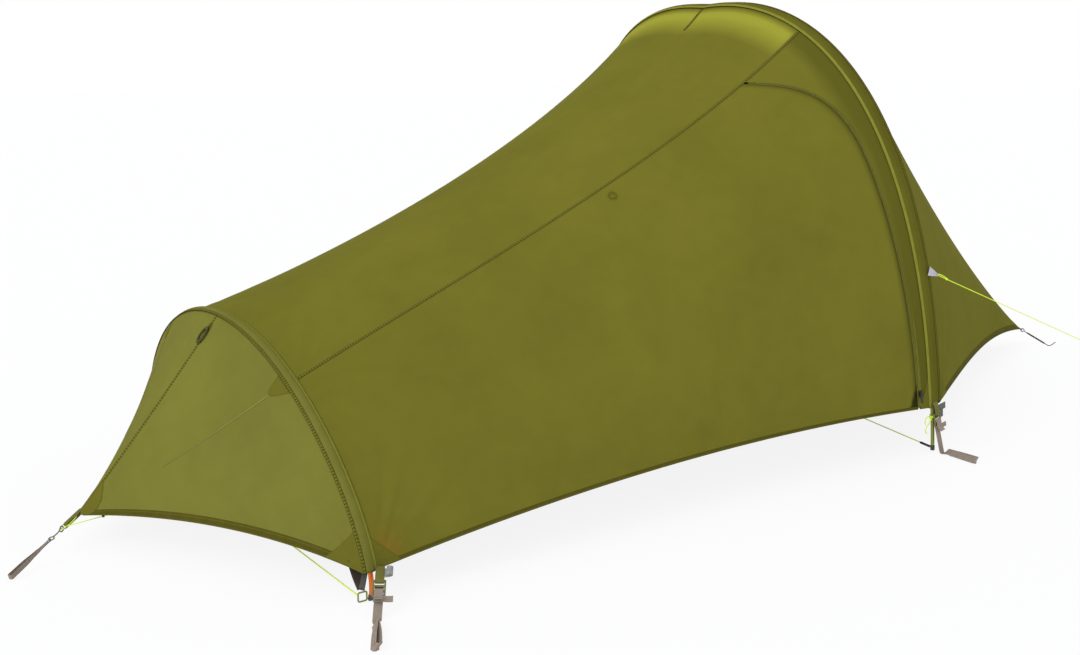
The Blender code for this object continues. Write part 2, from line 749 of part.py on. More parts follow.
def build_poles():
    cord_finish = finish("shock_cord", BLACK, 0.8)
    layout = (("main", MAIN, MAIN_POLE_SECTIONS, finish("pole_green", POLE_GREEN, 0.35, 0.8)),
              ("foot", FOOT, FOOT_POLE_SECTIONS, finish("pole_orange", ORANGE, 0.35, 0.7)))
    cut = 0.0006
    for name, arch, count, metal in layout:
        step = arch.length / count
        for i in range(count):
            start = i * step + (cut if i else 0.0)
            pole_section(name + "_pole_section_" + str(i + 1), arch, start, (i + 1) * step,
                         i == count - 1, metal)
        first = POLE_TIP_LENGTH + 0.002
        core = bmesh.new()
        elastic = pole_profile(arch, first, arch.length - first, SHOCK_CORD_DIAMETER / 2)
        add_loft(core, arch_rings(arch, elastic, 5))
        mesh_object(name + "_pole_shock_cord", core, cord_finish)


def build_zip():
    """Two coils side by side along the zip, one on the surround and one on the door."""
    coil_finish = finish("zip_coil", BLACK, 0.5)
    offset = (ZIP_COIL_DIAMETER + ZIP_COIL_GAP) / 2
    for name, sign in (("zip_coil_fixed", 1), ("zip_coil_door", -1)):
        route = []
        for t in [DOOR_TOP_SHARE + ZIP_COIL_START] + zip_rows()[1:-1] + [0.992]:
            across, normal = zip_frame(t)
            route.append(zip_line(t) + across * sign * offset + normal * ZIP_COIL_RISE)
        cord(name, route, ZIP_COIL_DIAMETER, coil_finish, 1)


def zip_frame(t):
    """Across the zip, away from the door, and out of the wall, at a share of its length."""
    ahead = unit(zip_line(min(t + 0.01, 1.0)) - zip_line(max(t - 0.01, 0.0)))
    to_arch = main_leg(max(t, 0.1)) - fold_line(0.5)
    normal = unit(np.cross(ahead, to_arch))
    if normal[1] > 0:
        normal = -normal
    across = unit(np.cross(normal, ahead))
    if np.dot(across, to_arch) < 0:
        across = -across
    return across, normal


def set_on_axis(obj, name, place):
    """Hangs an object on an empty that marks its joint's axis."""
    pivot = bpy.data.objects.get(name)
    if pivot is None:
        pivot = bpy.data.objects.new(name, None)
        pivot.location = Vector(place)
        bpy.context.scene.collection.objects.link(pivot)
    obj.parent = pivot
    obj.matrix_parent_inverse = Matrix.Translation(Vector(place)).inverted()


def placed(origin, x_axis, y_axis, z_axis):
    """The world matrix of a piece that is modelled in its own axes."""
    rows = np.eye(4)
    rows[:3, 0] = x_axis
    rows[:3, 1] = y_axis
    rows[:3, 2] = z_axis
    rows[:3, 3] = origin
    return Matrix(rows.tolist())


def block(name, size, bevel, material):
    bm = bmesh.new()
    bmesh.ops.create_cube(bm, size=1.0)
    bmesh.ops.scale(bm, vec=size, verts=bm.verts)
    bmesh.ops.bevel(bm, geom=bm.edges[:], offset=bevel, segments=1, affect="EDGES")
    return mesh_object(name, bm, material)


def zip_slider_axes():
    """Place and axes of the slider: along the zip, across it, and out of the wall."""
    upper = zip_line(SLIDER_SHARE - 0.16)
    lower = zip_line(SLIDER_SHARE)
    along = unit(upper - lower)
    across, normal = zip_frame(SLIDER_SHARE)
    normal = unit(normal - along * float(np.dot(normal, along)))
    across = unit(np.cross(along, normal))
    if np.dot(across, MAIN.headward) < 0:
        across = -across
    shift = across * (SLIDER_WIDTH / 2 - 0.0005) + normal * SLIDER_STANDOFF
    return lower + shift, along, across, normal


def build_zip_slider():
    metal = finish("zip_metal", STEEL, 0.35, 1.0)
    place, along, across, normal = zip_slider_axes()
    body = block("zip_slider", (SLIDER_LENGTH, SLIDER_WIDTH, SLIDER_THICKNESS), 0.0007, metal)
    body.matrix_world = placed(place, along, across, np.cross(along, across))
    puller = plate_with_slots("zip_puller", (-PULLER_WIDTH / 2, -0.0016, 0.0016, PULLER_WIDTH / 2),
                              (-PULLER_LENGTH, -0.0035, -0.0012, PULLER_END), {(1, 1)},
                              PULLER_THICKNESS, metal)
    puller.matrix_world = placed(puller_hinge()[0], across, along, np.cross(across, along))


def puller_hinge():
    """Place of the puller's pin over the slider, and the direction out of the wall."""
    place, along, across, normal = zip_slider_axes()
    out = np.cross(along, across)
    if np.dot(out, normal) < 0:
        out = -out
    swing = sqrt(PULLER_END ** 2 + (PULLER_THICKNESS / 2) ** 2)
    return place + out * (SLIDER_THICKNESS / 2 + swing + LOOP_CLEARANCE) + along * 0.003, out


def plate_with_slots(name, columns, rows, holes, thickness, material):
    """A flat plate on a grid of lines with some cells left open, thickened both ways."""
    bm = bmesh.new()
    verts = [[bm.verts.new((x, y, 0.0)) for x in columns] for y in rows]
    for j in range(len(rows) - 1):
        for i in range(len(columns) - 1):
            if (i, j) not in holes:
                bm.faces.new((verts[j][i], verts[j][i + 1], verts[j + 1][i + 1], verts[j + 1][i]))
    plate = mesh_object(name, bm, material, smooth=False)
    thick = plate.modifiers.new("thickness", "SOLIDIFY")
    thick.thickness = thickness
    thick.offset = 0.0
    return plate


class Line:
    """A tight line with a hinge: distances run down it, sideways, and off its outer face."""

    def __init__(self, hinge, down, out):
        self.hinge = hinge
        self.down = unit(down)
        self.out = unit(out)
        self.level = unit(np.cross(UP, out))
        self.across = unit(self.level - self.down * float(np.dot(self.level, self.down)))
        self.face = np.cross(self.down, self.across)

    def place(self, along, off=0.0, sideways=0.0):
        return self.hinge + self.down * along + self.face * off + self.across * sideways

    def turn(self, along, radius, start_angle, end_angle, steps=7):
        """Points of a bend round a bar that lies across the line."""
        return [self.place(along + radius * sin(a), radius * cos(a))
                for a in np.linspace(start_angle, end_angle, steps)]


def corner_line(arch, hem_s, reach, angle, far):
    """The line from a sleeve's lower end through the buckle to the peg on the ground."""
    flip = FAR if far else point(1, 1, 1)
    out = point(-sin(angle), -cos(angle), 0.0)
    sleeve = POLE_DIAMETER / 2 + SLEEVE_CLEARANCE + SLEEVE_CLOTH
    start = arch.at(hem_s) + arch.outward(hem_s) * (sleeve + 0.004) - UP * 0.002
    ground = arch.at(0.0) + out * reach
    ground[2] = WEBBING_THICKNESS / 2 + GROUND_GAP
    down = unit(ground - start)
    return Line((start + down * BUCKLE_DROP) * flip, down * flip, out * flip), ground * flip


def buckle_lines():
    """The rungs of a ladder-lock, measured down from the middle of its first bar."""
    lines = [-BUCKLE_BAR / 2]
    for _ in range(3):
        lines.append(lines[-1] + BUCKLE_BAR)
        lines.append(lines[-1] + BUCKLE_SLOT)
    lines.append(lines[-1] + BUCKLE_BAR)
    return lines


def bar_turn_radius():
    """Middle radius of webbing that turns round a buckle's bar and lets it swing."""
    bar = sqrt(BUCKLE_BAR ** 2 + BUCKLE_THICKNESS ** 2) / 2
    return bar + LOOP_CLEARANCE + WEBBING_THICKNESS / 2


def build_corner(name, line, ground):
    """Olive strap round the first bar, the buckle, and the peg strap round the third bar."""
    olive = finish("webbing_olive", OLIVE_WEBBING, 0.8)
    plastic = finish("buckle_plastic", OLIVE_WEBBING, 0.45)
    brown = finish("webbing_brown", BROWN, 0.8)
    radius = bar_turn_radius()
    above = 0.0015 - BUCKLE_DROP
    path = [line.place(above, radius), line.place(above / 2, radius)]
    path += line.turn(0.0, radius, 0.0, pi)
    path += [line.place(above / 2, -radius), line.place(above, -radius)]
    bm = bmesh.new()
    add_strap(bm, path, [line.across] * len(path))
    mesh_object(name + "_corner_strap", bm, olive)

    lines = buckle_lines()
    inside = WEBBING_WIDTH / 2 + 0.0007
    columns = (-BUCKLE_WIDTH / 2, -inside, inside, BUCKLE_WIDTH / 2)
    buckle = plate_with_slots(name + "_buckle", columns, lines, {(1, 1), (1, 3), (1, 5)},
                              BUCKLE_THICKNESS, plastic)
    buckle.matrix_world = placed(line.hinge, line.across, line.down, np.cross(line.across, line.down))
    set_on_axis(buckle, name + "_anchor_axis", line.hinge)
    strap = peg_strap(name + "_peg_strap", line, ground, brown)
    set_on_axis(strap, name + "_anchor_axis", line.hinge)


def peg_strap(name, line, ground, material):
    """Tail end, turn round the third bar, run to the ground, quarter twist, upright peg loop."""
    lines = buckle_lines()
    third = (lines[4] + lines[5]) / 2
    off = bar_turn_radius()
    path = [line.place(third + 0.021, off + 0.009), line.place(third + 0.015, off + 0.0025),
            line.place(third + 0.006, off)]
    path += line.turn(third, -off, pi, 0.0)
    end = line.place(lines[-1] + 0.002, -off)
    path += [line.place(third + 0.006, -off), end]
    widths = [line.across] * len(path)
    for share in (0.35, 0.7):
        path.append(lerp(end, ground, share))
        widths.append(line.across)
    upright = WEBBING_WIDTH / 2 + GROUND_GAP
    twist_end = ground + line.out * PEG_TWIST_LENGTH
    twist_end[2] = upright
    for share, turned, lift in ((0.05, 0.0, 0.0), (0.35, 0.2, 0.12), (0.6, 0.5, 0.5), (0.8, 0.8, 0.8)):
        spot = lerp(ground, twist_end, share)
        spot[2] = lerp(ground[2], upright, lift)
        path.append(spot)
        widths.append(unit(lerp(line.level, UP, turned)))
    for sideways, ahead in loop_outline():
        path.append(twist_end + line.level * sideways + line.out * ahead)
        widths.append(UP)
    bm = bmesh.new()
    add_strap(bm, path, widths)
    for vert in bm.verts:
        vert.co.z = max(vert.co.z, GROUND_GAP)
    return mesh_object(name, bm, material)


def loop_outline():
    """A drop-shaped loop in plan: out along one side, round the end and back along the other."""
    half = PEG_LOOP_HALF_WIDTH
    length = PEG_LOOP_LENGTH
    outline = [(0.0, 0.0), (half * 0.35, length * 0.22), (half * 0.8, length * 0.5)]
    for angle in np.linspace(0, pi, 9):
        outline.append((half * cos(angle), length - half + half * sin(angle)))
    outline += [(-half * 0.8, length * 0.5), (-half * 0.5, length * 0.25), (-0.0030, 0.008)]
    return outline


def corners():
    """Name, line and ground point of each pegged corner."""
    made = []
    for side, foot_angle in (("near", NEAR_FOOT_PEG_ANGLE), ("far", FAR_FOOT_PEG_ANGLE)):
        for name, arch, hem_s, reach, angle in (
                ("foot", FOOT, FOOT_HEM_S, FOOT_PEG_REACH, foot_angle),
                ("head", MAIN, MAIN_HEM_S, MAIN_PEG_REACH, MAIN_PEG_ANGLE)):
            made.append((side + "_" + name, *corner_line(arch, hem_s, reach, angle, side == "far")))
    return made


def tube_object(name, route, radius, material, sides=8, closed=False):
    bm = bmesh.new()
    add_tube(bm, route, radius, sides, closed=closed)
    return mesh_object(name, bm, material)


def base_ring_centre(side):
    """Middle of the square ring that stands beside the foot pole's tip, at the nose side."""
    beside = POLE_TIP_DIAMETER / 2 + BASE_RING_HALF_WIDTH + RING_WIRE / 2 + RING_GAP
    foot = FOOT.at(0.0)
    return point(foot[0] - beside, foot[1], BASE_RING_HALF_WIDTH + RING_WIRE / 2 + GROUND_GAP) * side


def build_base():
    """Square rings at the foot arch, the cord between them, and the cords at the main arch."""
    lime = finish("cord_lime", LIME, 0.6)
    half = BASE_RING_HALF_WIDTH
    rounding = 0.003
    for name, side in (("near", point(1, 1, 1)), ("far", FAR)):
        centre = base_ring_centre(side)
        outline = []
        for quarter, (a, b) in enumerate(((1, 1), (-1, 1), (-1, -1), (1, -1))):
            for step in range(4):
                angle = (quarter + step / 3) * pi / 2
                outline.append(centre + point(a * (half - rounding) + rounding * cos(angle), 0,
                                              b * (half - rounding) + rounding * sin(angle)))
        tube_object(name + "_base_ring", outline, RING_WIRE / 2, lime, 6, closed=True)
    start = base_ring_centre(point(1, 1, 1)) + point(-half, RING_WIRE / 2 + RING_GAP, half / 2)
    cord("foot_base_cord", smooth_route([start, start * FAR], 30), CORD_DIAMETER, lime)
    floor_edges = {"near": point(FLOOR_NEAR_CORNER_X, FLOOR_NEAR_CORNER_Y, 0),
                   "far": point(FLOOR_NEAR_CORNER_X, FLOOR_FAR_EDGE, 0)}
    for name, side in (("near", point(1, 1, 1)), ("far", FAR)):
        foot = MAIN.at(0.0) * side + UP * HEAD_CORD_HEIGHT
        corner = floor_edges[name] + UP * HEAD_CORD_HEIGHT
        ahead = unit(corner - foot)
        first = foot + ahead * (POLE_TIP_DIAMETER / 2 + CORD_SLEEVE_DIAMETER / 2)
        last = corner - ahead * 0.008
        cord_with_sleeve(name + "_head_cord", first, last, lime)


def cord_with_sleeve(name, first, last, material):
    """A tight cord whose first stretch is thick with a slipped-on sleeve."""
    ahead = unit(last - first)
    thick = CORD_SLEEVE_DIAMETER / 2
    thin = CORD_DIAMETER / 2
    profile = ((0.0, thick * 0.7), (0.002, thick), (CORD_SLEEVE_LENGTH, thick),
               (CORD_SLEEVE_LENGTH + 0.006, thin), (np.linalg.norm(last - first), thin))
    side = unit(np.cross(ahead, UP))
    up = np.cross(side, ahead)
    bm = bmesh.new()
    add_loft(bm, [ring_at(first + ahead * s, side, up, circle_section(r, 8)) for s, r in profile])
    mesh_object(name, bm, material)


def ring_route(line, middle, radius, count=16):
    """A round ring that lies along and across a line."""
    return [line.place(middle + radius * cos(a), 0.0, radius * sin(a))
            for a in np.linspace(0, 2 * pi, count, endpoint=False)]


def nose_line():
    """From the fly's nose down to its peg; the hinge is the far side of the nose ring."""
    tip = point(NOSE_X - 0.002, 0.0, NOSE_HEIGHT)
    end = point(NOSE_PEG_X, NOSE_PEG_Y, NOSE_WEBBING / 2 + GROUND_GAP)
    down = unit(end - tip)
    ring_far = tip + down * (NOSE_STRAP_LENGTH + 2 * RING_RADIUS)
    return Line(ring_far, down, unit(point(down[0], down[1], 0.0))), tip, end


def build_nose():
    """Olive strap, ring, wire hook with an eye at each end, and the brown peg loop."""
    line, tip, end = nose_line()
    olive = finish("webbing_olive", OLIVE_WEBBING, 0.8)
    steel = finish("ring_steel", STEEL, 0.3, 1.0)
    brown = finish("webbing_brown", BROWN, 0.8)
    bar = -2 * RING_RADIUS
    radius = RING_WIRE / 2 + 0.0022
    top = bar - NOSE_STRAP_LENGTH + 0.0015
    path = [line.place(top, radius), line.place((top + bar) / 2, radius)]
    path += line.turn(bar, radius, 0.0, pi)
    path += [line.place((top + bar) / 2, -radius), line.place(top, -radius)]
    bm = bmesh.new()
    add_strap(bm, path, [line.across] * len(path), NOSE_STRAP_WIDTH)
    mesh_object("nose_strap", bm, olive)
    tube_object("nose_ring", ring_route(line, -RING_RADIUS, RING_RADIUS), RING_WIRE / 2, steel, 6,
                closed=True)

    eye = HOOK_EYE_RADIUS
    lower = HOOK_LENGTH - eye
    route = [line.place(EYE_SHIFT + eye * cos(a), eye * sin(a))
             for a in np.linspace(1.93 * pi, 0.20 * pi, 14)]
    route += [line.place(EYE_SHIFT + eye + 0.004), line.place(lower - eye - 0.003)]
    route += [line.place(lower + eye * cos(a), 0.0, eye * sin(a))
              for a in np.linspace(1.15 * pi, 2.85 * pi, 14)]
    hook = tube_object("nose_hook", smooth_route(route, 38), HOOK_WIRE / 2, steel, 6)
    set_on_axis(hook, "nose_anchor_axis", line.hinge)
    loop = nose_peg_loop("nose_peg_loop", line, HOOK_LENGTH, end, brown)
    set_on_axis(loop, "nose_anchor_axis", line.hinge)


def nose_peg_loop(name, line, wire, end, material):
    """A closed band: round the hook's lower eye, twisted a quarter turn, then an open loop."""
    end_along = float(np.dot(end - line.hinge, line.down))
    bend = HOOK_WIRE / 2 + 2 * LOOP_CLEARANCE + NOSE_BAND_THICKNESS / 2
    half = NOSE_LOOP_HALF_WIDTH
    stations = [(0.0, bend, 0.0, NOSE_BAND_NARROW)]
    for share, apart, quarter in ((0.12, 0.0013, 0.15), (0.24, 0.0011, 0.5), (0.36, 0.0013, 0.85),
                                  (0.46, half * 0.35, 1.0), (0.66, half * 0.85, 1.0)):
        stations.append((share, apart, quarter, lerp(NOSE_BAND_NARROW, NOSE_WEBBING, min(1.0, 2 * share))))

    def leg(sign):
        made = []
        for share, apart, quarter, width in stations:
            turned = quarter * pi / 2
            away = line.face * cos(turned) + line.across * sin(turned)
            side = line.across * cos(turned) - line.face * sin(turned)
            spot = line.place(lerp(wire, end_along - half, share)) + away * apart * sign
            made.append((spot, side * sign, width))
        return made

    path = leg(1)
    for angle in np.linspace(0, pi, 9):
        spot = line.place(end_along - half + half * sin(angle), 0.0, half * cos(angle))
        path.append((spot, -line.face, NOSE_WEBBING))
    for spot, side, width in leg(-1)[::-1]:
        path.append((spot, -line.face if width == NOSE_WEBBING else -side, width))
    for angle in np.linspace(pi, 0, 7)[1:-1]:
        path.append((line.place(wire - bend * sin(angle), bend * cos(angle)), line.across,
                     NOSE_BAND_NARROW))
    spots, sides, widths = zip(*path)
    bm = bmesh.new()
    add_strap(bm, list(spots), even_sides(spots, sides), list(widths), NOSE_BAND_THICKNESS, closed=True)
    for vert in bm.verts:
        vert.co.z = max(vert.co.z, GROUND_GAP)
    return mesh_object(name, bm, material)


def even_sides(spots, sides):
    """Each side direction, flipped where it would point against the one before it."""
    even = [sides[0]]
    for side in sides[1:]:
        even.append(side if np.dot(side, even[-1]) >= 0 else -side)
    return even


def tail_line():
    """From the fly's tail down to its peg hook; the hinge is the far side of the tail ring."""
    tip = point(TAIL_X + 0.0018 + RING_WIRE / 2, 0.0, TAIL_HEIGHT)
    end = point(TAIL_PEG_X, TAIL_PEG_Y, HOOK_WIRE / 2 + GROUND_GAP)
    down = unit(end - tip)
    out = unit(point(down[0], down[1], 0.0))
    return Line(tip + down * 2 * TAIL_RING_RADIUS, down, out), end


def build_tail():
    """Ring at the tail and the wire hook that goes down to the ground and turns up its end."""
    line, end = tail_line()
    steel = finish("ring_steel", STEEL, 0.3, 1.0)
    dark = finish("hook_wire", BLACK, 0.4, 1.0)
    ring = ring_route(line, -TAIL_RING_RADIUS, TAIL_RING_RADIUS, 12)
    tube_object("tail_ring", ring, RING_WIRE / 2, steel, 6, closed=True)
    eye = HOOK_EYE_RADIUS
    route = [line.place(EYE_SHIFT + eye * cos(a), eye * sin(a))
             for a in np.linspace(1.93 * pi, 0.20 * pi, 14)]
    along_end = float(np.dot(end - line.hinge, line.down))
    route += [line.place(eye + 0.006, 0.0), line.place(along_end * 0.55, 0.0),
              line.place(along_end - 0.006, 0.0), line.place(along_end, 0.0)]
    ground = line.place(along_end)
    route.append(ground + line.out * 0.008 + line.across * 0.006 + UP * 0.001)
    route.append(ground + line.out * 0.020 + line.across * 0.022 + UP * 0.008)
    hook = tube_object("tail_hook", smooth_route(route, 34), HOOK_WIRE / 2, dark, 6)
    set_on_axis(hook, "tail_hook_axis", line.hinge)


def guy_start():
    s = MAIN.where_height(GUY_TAB_HEIGHT)
    sleeve = POLE_DIAMETER / 2 + SLEEVE_CLEARANCE + SLEEVE_CLOTH
    return MAIN.beside(s, MAIN_SLEEVE_HEAD_EDGE - 0.001, sleeve + 0.0006)


def guy_points():
    """Root of the tab, tip of the tab, and the ground end of the guyline."""
    root = guy_start()
    ground = point(root[0] + GUY_REACH, root[1] - GUY_SPREAD, GUY_END_HEIGHT)
    ahead = unit(ground - root)
    return root, root + ahead * GUY_TAB_LENGTH, ground


def guy_slider_axes():
    root, tip, ground = guy_points()
    ahead = unit(ground - tip)
    side = unit(np.cross(ahead, UP))
    return tip, ground, ahead, side, np.cross(side, ahead)


def build_guys():
    """White tabs on both sides; on the near side the line, its slider and its end loop."""
    white = finish("tab_white", WHITE, 0.7)
    lime = finish("cord_lime", LIME, 0.6)
    root, tip, ground = guy_points()
    ahead = unit(tip - root)
    down = unit(MAIN.along(MAIN.where_height(GUY_TAB_HEIGHT)))
    across = unit(down - ahead * float(np.dot(down, ahead)))
    normal = np.cross(ahead, across)
    for name, flip in (("near", point(1, 1, 1)), ("far", FAR)):
        bm = bmesh.new()
        corners_2d = ((0.0, GUY_TAB_WIDTH / 2), (GUY_TAB_LENGTH, GUY_TAB_TIP / 2),
                      (GUY_TAB_LENGTH, -GUY_TAB_TIP / 2), (0.0, -GUY_TAB_WIDTH / 2))
        rings = [[(root + ahead * a + across * b + normal * off) * flip for a, b in corners_2d]
                 for off in (-0.0006, 0.0006)]
        add_loft(bm, rings)
        mesh_object(name + "_guy_tab", bm, white)

    first = tip + ahead * (LOOP_CLEARANCE + GUY_DIAMETER / 2)
    side, lift = guy_slider_axes()[3:]
    straight = [lerp(first, ground, t) for t in np.linspace(0, 1, 12)]
    loop = [ground + ahead * a + side * b for a, b in GUY_LOOP]
    for p in loop:
        p[2] = GUY_END_HEIGHT
    cord("near_guyline", smooth_route(straight + loop, 78), GUY_DIAMETER, lime)

    centre = lerp(tip, ground, GUY_SLIDER_SHARE)
    bore = GUY_DIAMETER / 2 + 0.0006
    outer = [(a * 0.0060, b * 0.0040) for a, b in circle_section(1.0, 12)]
    inner = circle_section(bore, 12)
    half = GUY_SLIDER_LENGTH / 2
    spots = [centre + ahead * s for s in (-half, half)]
    bm = bmesh.new()
    add_loft(bm, [ring_at(p, side, lift, outer) for p in spots],
             [ring_at(p, side, lift, inner) for p in spots])
    mesh_object("guy_slider", bm, finish("buckle_plastic", OLIVE_WEBBING, 0.45))


def build_fly_loops():
    """The dark vent loop under the foot arch's crown and the tie-back ring under the seam."""
    dark = finish("loop_dark", BLACK, 0.7)
    nose = nose_surface()
    spot = nose(0.10, 0.0)
    down = unit(nose(0.16, 0.0) - nose(0.06, 0.0))
    out = unit(np.cross(point(0, 1, 0), down))
    if out[2] < 0:
        out = -out
    centre = spot + out * (VENT_LOOP_WIRE / 2 + 0.0022)
    route = []
    for angle in np.linspace(0, 2 * pi, 16, endpoint=False):
        route.append(centre + down * VENT_LOOP_LENGTH / 2 * cos(angle)
                     + point(0, 1, 0) * VENT_LOOP_WIDTH / 2 * sin(angle))
    tube_object("vent_loop", route, VENT_LOOP_WIRE / 2, dark, 6, closed=True)

    seam = TIE_BACK_SHARE
    spot = near_wall_surface(seam, 0.045)
    u_way = unit(near_wall_surface(seam + 0.02, 0.045) - spot)
    v_way = unit(near_wall_surface(seam, 0.09) - spot)
    normal = unit(np.cross(u_way, v_way))
    if normal[1] > 0:
        normal = -normal
    v_way = unit(np.cross(u_way, normal))
    centre = spot + normal * (TIE_BACK_WIRE / 2 + 0.0035)
    route = [centre + TIE_BACK_RADIUS * (u_way * cos(a) + v_way * sin(a))
             for a in np.linspace(0, 2 * pi, 16, endpoint=False)]
    tube_object("tie_back_ring", route, TIE_BACK_WIRE / 2, finish("loop_olive", OLIVE_SLEEVE, 0.6), 6,
                closed=True)


# Inner tent

def floor_outline(inset=0.0):
    """Corners of the floor, from the near foot corner round by the head."""
    outline = [(FLOOR_FOOT_X, -FLOOR_FOOT_HALF_WIDTH), (FLOOR_NEAR_CORNER_X, FLOOR_NEAR_CORNER_Y),
               (FLOOR_HEAD_X, FLOOR_HEAD_NEAR_Y), (FLOOR_HEAD_X, FLOOR_HEAD_FAR_Y),
               (FLOOR_NEAR_CORNER_X, FLOOR_FAR_EDGE), (FLOOR_FOOT_X, FLOOR_FOOT_HALF_WIDTH)]
    if not inset:
        return outline
    drawn = []
    for i, (x, y) in enumerate(outline):
        before = Vector(outline[i - 1])
        after = Vector(outline[(i + 1) % len(outline)])
        here = Vector((x, y))
        a = (here - before).normalized()
        b = (after - here).normalized()
        inward = Vector((-a.y - b.y, a.x + b.x))
        drawn.append(tuple(here + inward.normalized() * inset / (inward.length / 2)))
    return drawn


def build_floor():
    outer = floor_outline()
    inner = floor_outline(FLOOR_CLOTH)
    bm = bmesh.new()
    rings = [[bm.verts.new((x, y, z)) for x, y in outline]
             for outline, z in ((outer, 0.0), (outer, TUB_HEIGHT), (inner, TUB_HEIGHT),
                                (inner, FLOOR_CLOTH))]
    bm.faces.new(rings[0])
    bm.faces.new(rings[-1])
    for low, high in zip(rings, rings[1:]):
        for i in range(len(low)):
            j = (i + 1) % len(low)
            bm.faces.new((low[i], low[j], high[j], high[i]))
    mesh_object("floor_tub", bm, finish("floor_cloth", GREY_INNER, 0.6), smooth=False)


def tub_point(x, y):
    return point(x, y, TUB_HEIGHT + INNER_GAP)


def inner_shoulder(arch):
    return arch.beside(arch.where_half_width(INNER_SHOULDER), 0.0, -INNER_DROP)


def station_foot(p):
    """A point of the foot arch's section, set back to the plane of the inner foot wall."""
    return point(p[0] + FLOOR_FOOT_X - FOOT_ARCH_X, p[1], p[2])


def inner_over(arch, shift, far_base):
    """From the near inner shoulder over the crown and down the far side to the floor's edge."""
    s = arch.where_half_width(INNER_SHOULDER)
    crown = [arch.beside(d, 0.0, -INNER_DROP) for d in np.linspace(s, arch.length - s, 7)]
    far_leg = arch.beside(arch.length - lerp(s, 0.0, 0.45), 0.0, -INNER_DROP)
    knots = [shift(p) for p in crown] + [shift(far_leg), far_base]
    route = smooth_route(knots, 40)
    return lambda v: bend_point(route, v)


def bend_point(route, v):
    i = min(int(v * (len(route) - 1)), len(route) - 2)
    return lerp(route[i], route[i + 1], v * (len(route) - 1) - i)


def build_inner():
    net = finish("inner_net", GREY_INNER, 0.8)
    same = (lambda p: p)
    foot_near = tub_point(FLOOR_FOOT_X, -FLOOR_FOOT_HALF_WIDTH)
    foot_far = tub_point(FLOOR_FOOT_X, FLOOR_FOOT_HALF_WIDTH)
    main_near = tub_point(FLOOR_NEAR_CORNER_X, FLOOR_NEAR_CORNER_Y)
    main_far = tub_point(FLOOR_NEAR_CORNER_X, FLOOR_FAR_EDGE)
    over_foot = inner_over(FOOT, station_foot, foot_far)
    over_main = inner_over(MAIN, same, main_far)
    shoulder_foot = over_foot(0.0)
    shoulder_main = over_main(0.0)

    def shoulder_line(u):
        return lerp(shoulder_foot, shoulder_main, u) - UP * INNER_SAG * 4 * u * (1 - u)

    canopy = coons(shoulder_line, lambda u: lerp(foot_far, main_far, u), over_foot, over_main,
                   CANOPY_FADE_RATIO)
    sheet("inner_canopy", drawn_in(canopy, INNER_GAP), 8, 12, net, INNER_CLOTH)

    def near_wall(u, v):
        return lerp(shoulder_line(u), lerp(foot_near, main_near, u), v)

    def in_doorway(u, v):
        return DOORWAY_START_SHARE < u < DOORWAY_END_SHARE and DOORWAY_TOP_SHARE < v < DOORWAY_BOTTOM_SHARE

    wall = drawn_in(near_wall, INNER_GAP)
    columns = grid_through(DOORWAY_START_SHARE, DOORWAY_END_SHARE, 4, 4, 2)
    rows = grid_through(DOORWAY_TOP_SHARE, DOORWAY_BOTTOM_SHARE, 1, 5, 1)
    sheet("inner_near_wall", on_lines(wall, columns, rows), len(columns) - 1, len(rows) - 1, net,
          INNER_CLOTH, lambda a, b: in_doorway(on_scale(columns, a), on_scale(rows, b)))

    def door(u, v):
        return wall(lerp(DOORWAY_START_SHARE, DOORWAY_END_SHARE, u), lerp(DOORWAY_TOP_SHARE, DOORWAY_BOTTOM_SHARE, v))

    panel = sheet("inner_door", drawn_in(door, INNER_DOOR_GAP), 4, 5, net, INNER_CLOTH)
    hinge = inner_door_hinge()
    set_on_axis(panel, "inner_door_axis", hinge[0])

    foot_wall = coons(lambda u: over_foot(u * FOOT_WALL_SHARE), lambda u: lerp(foot_near, foot_far, u),
                      lambda v: lerp(shoulder_foot, foot_near, v),
                      lambda v: lerp(over_foot(FOOT_WALL_SHARE), foot_far, v))
    shift = point(-INNER_GAP * 1.5, 0, 0)
    sheet("inner_foot_wall", drawn_in(lambda u, v: foot_wall(u, v) + shift, INNER_GAP), 8, 3, net,
          INNER_CLOTH)

    head_near = tub_point(FLOOR_HEAD_X, FLOOR_HEAD_NEAR_Y)
    head_far = tub_point(FLOOR_HEAD_X, FLOOR_HEAD_FAR_Y)

    def whole_main(v):
        if v < 0.3:
            return lerp(main_near, shoulder_main, v / 0.3)
        return over_main((v - 0.3) / 0.7)

    def low_end(v):
        return bezier((head_near, head_near + UP * HEAD_END_HEIGHT, head_far + UP * HEAD_END_HEIGHT,
                       head_far), v)

    head = coons(lambda u: lerp(main_near, head_near, u), lambda u: lerp(main_far, head_far, u),
                 whole_main, low_end)
    step = point(INNER_GAP * 1.5, 0, 0)
    sheet("inner_head_wall", drawn_in(lambda u, v: head(u, v) + step, INNER_GAP), 5, 12, net,
          INNER_CLOTH)


def inner_door_hinge():
    """Upper and lower point of the inner door's head-side edge, on which it turns."""
    foot_near = tub_point(FLOOR_FOOT_X, -FLOOR_FOOT_HALF_WIDTH)
    main_near = tub_point(FLOOR_NEAR_CORNER_X, FLOOR_NEAR_CORNER_Y)
    top_foot = station_foot(inner_shoulder(FOOT))
    top_main = inner_shoulder(MAIN)
    u = DOORWAY_END_SHARE
    top = lerp(top_foot, top_main, u) - UP * INNER_SAG * 4 * u * (1 - u)
    base = lerp(foot_near, main_near, u)
    return lerp(top, base, DOORWAY_TOP_SHARE), lerp(top, base, DOORWAY_BOTTOM_SHARE)


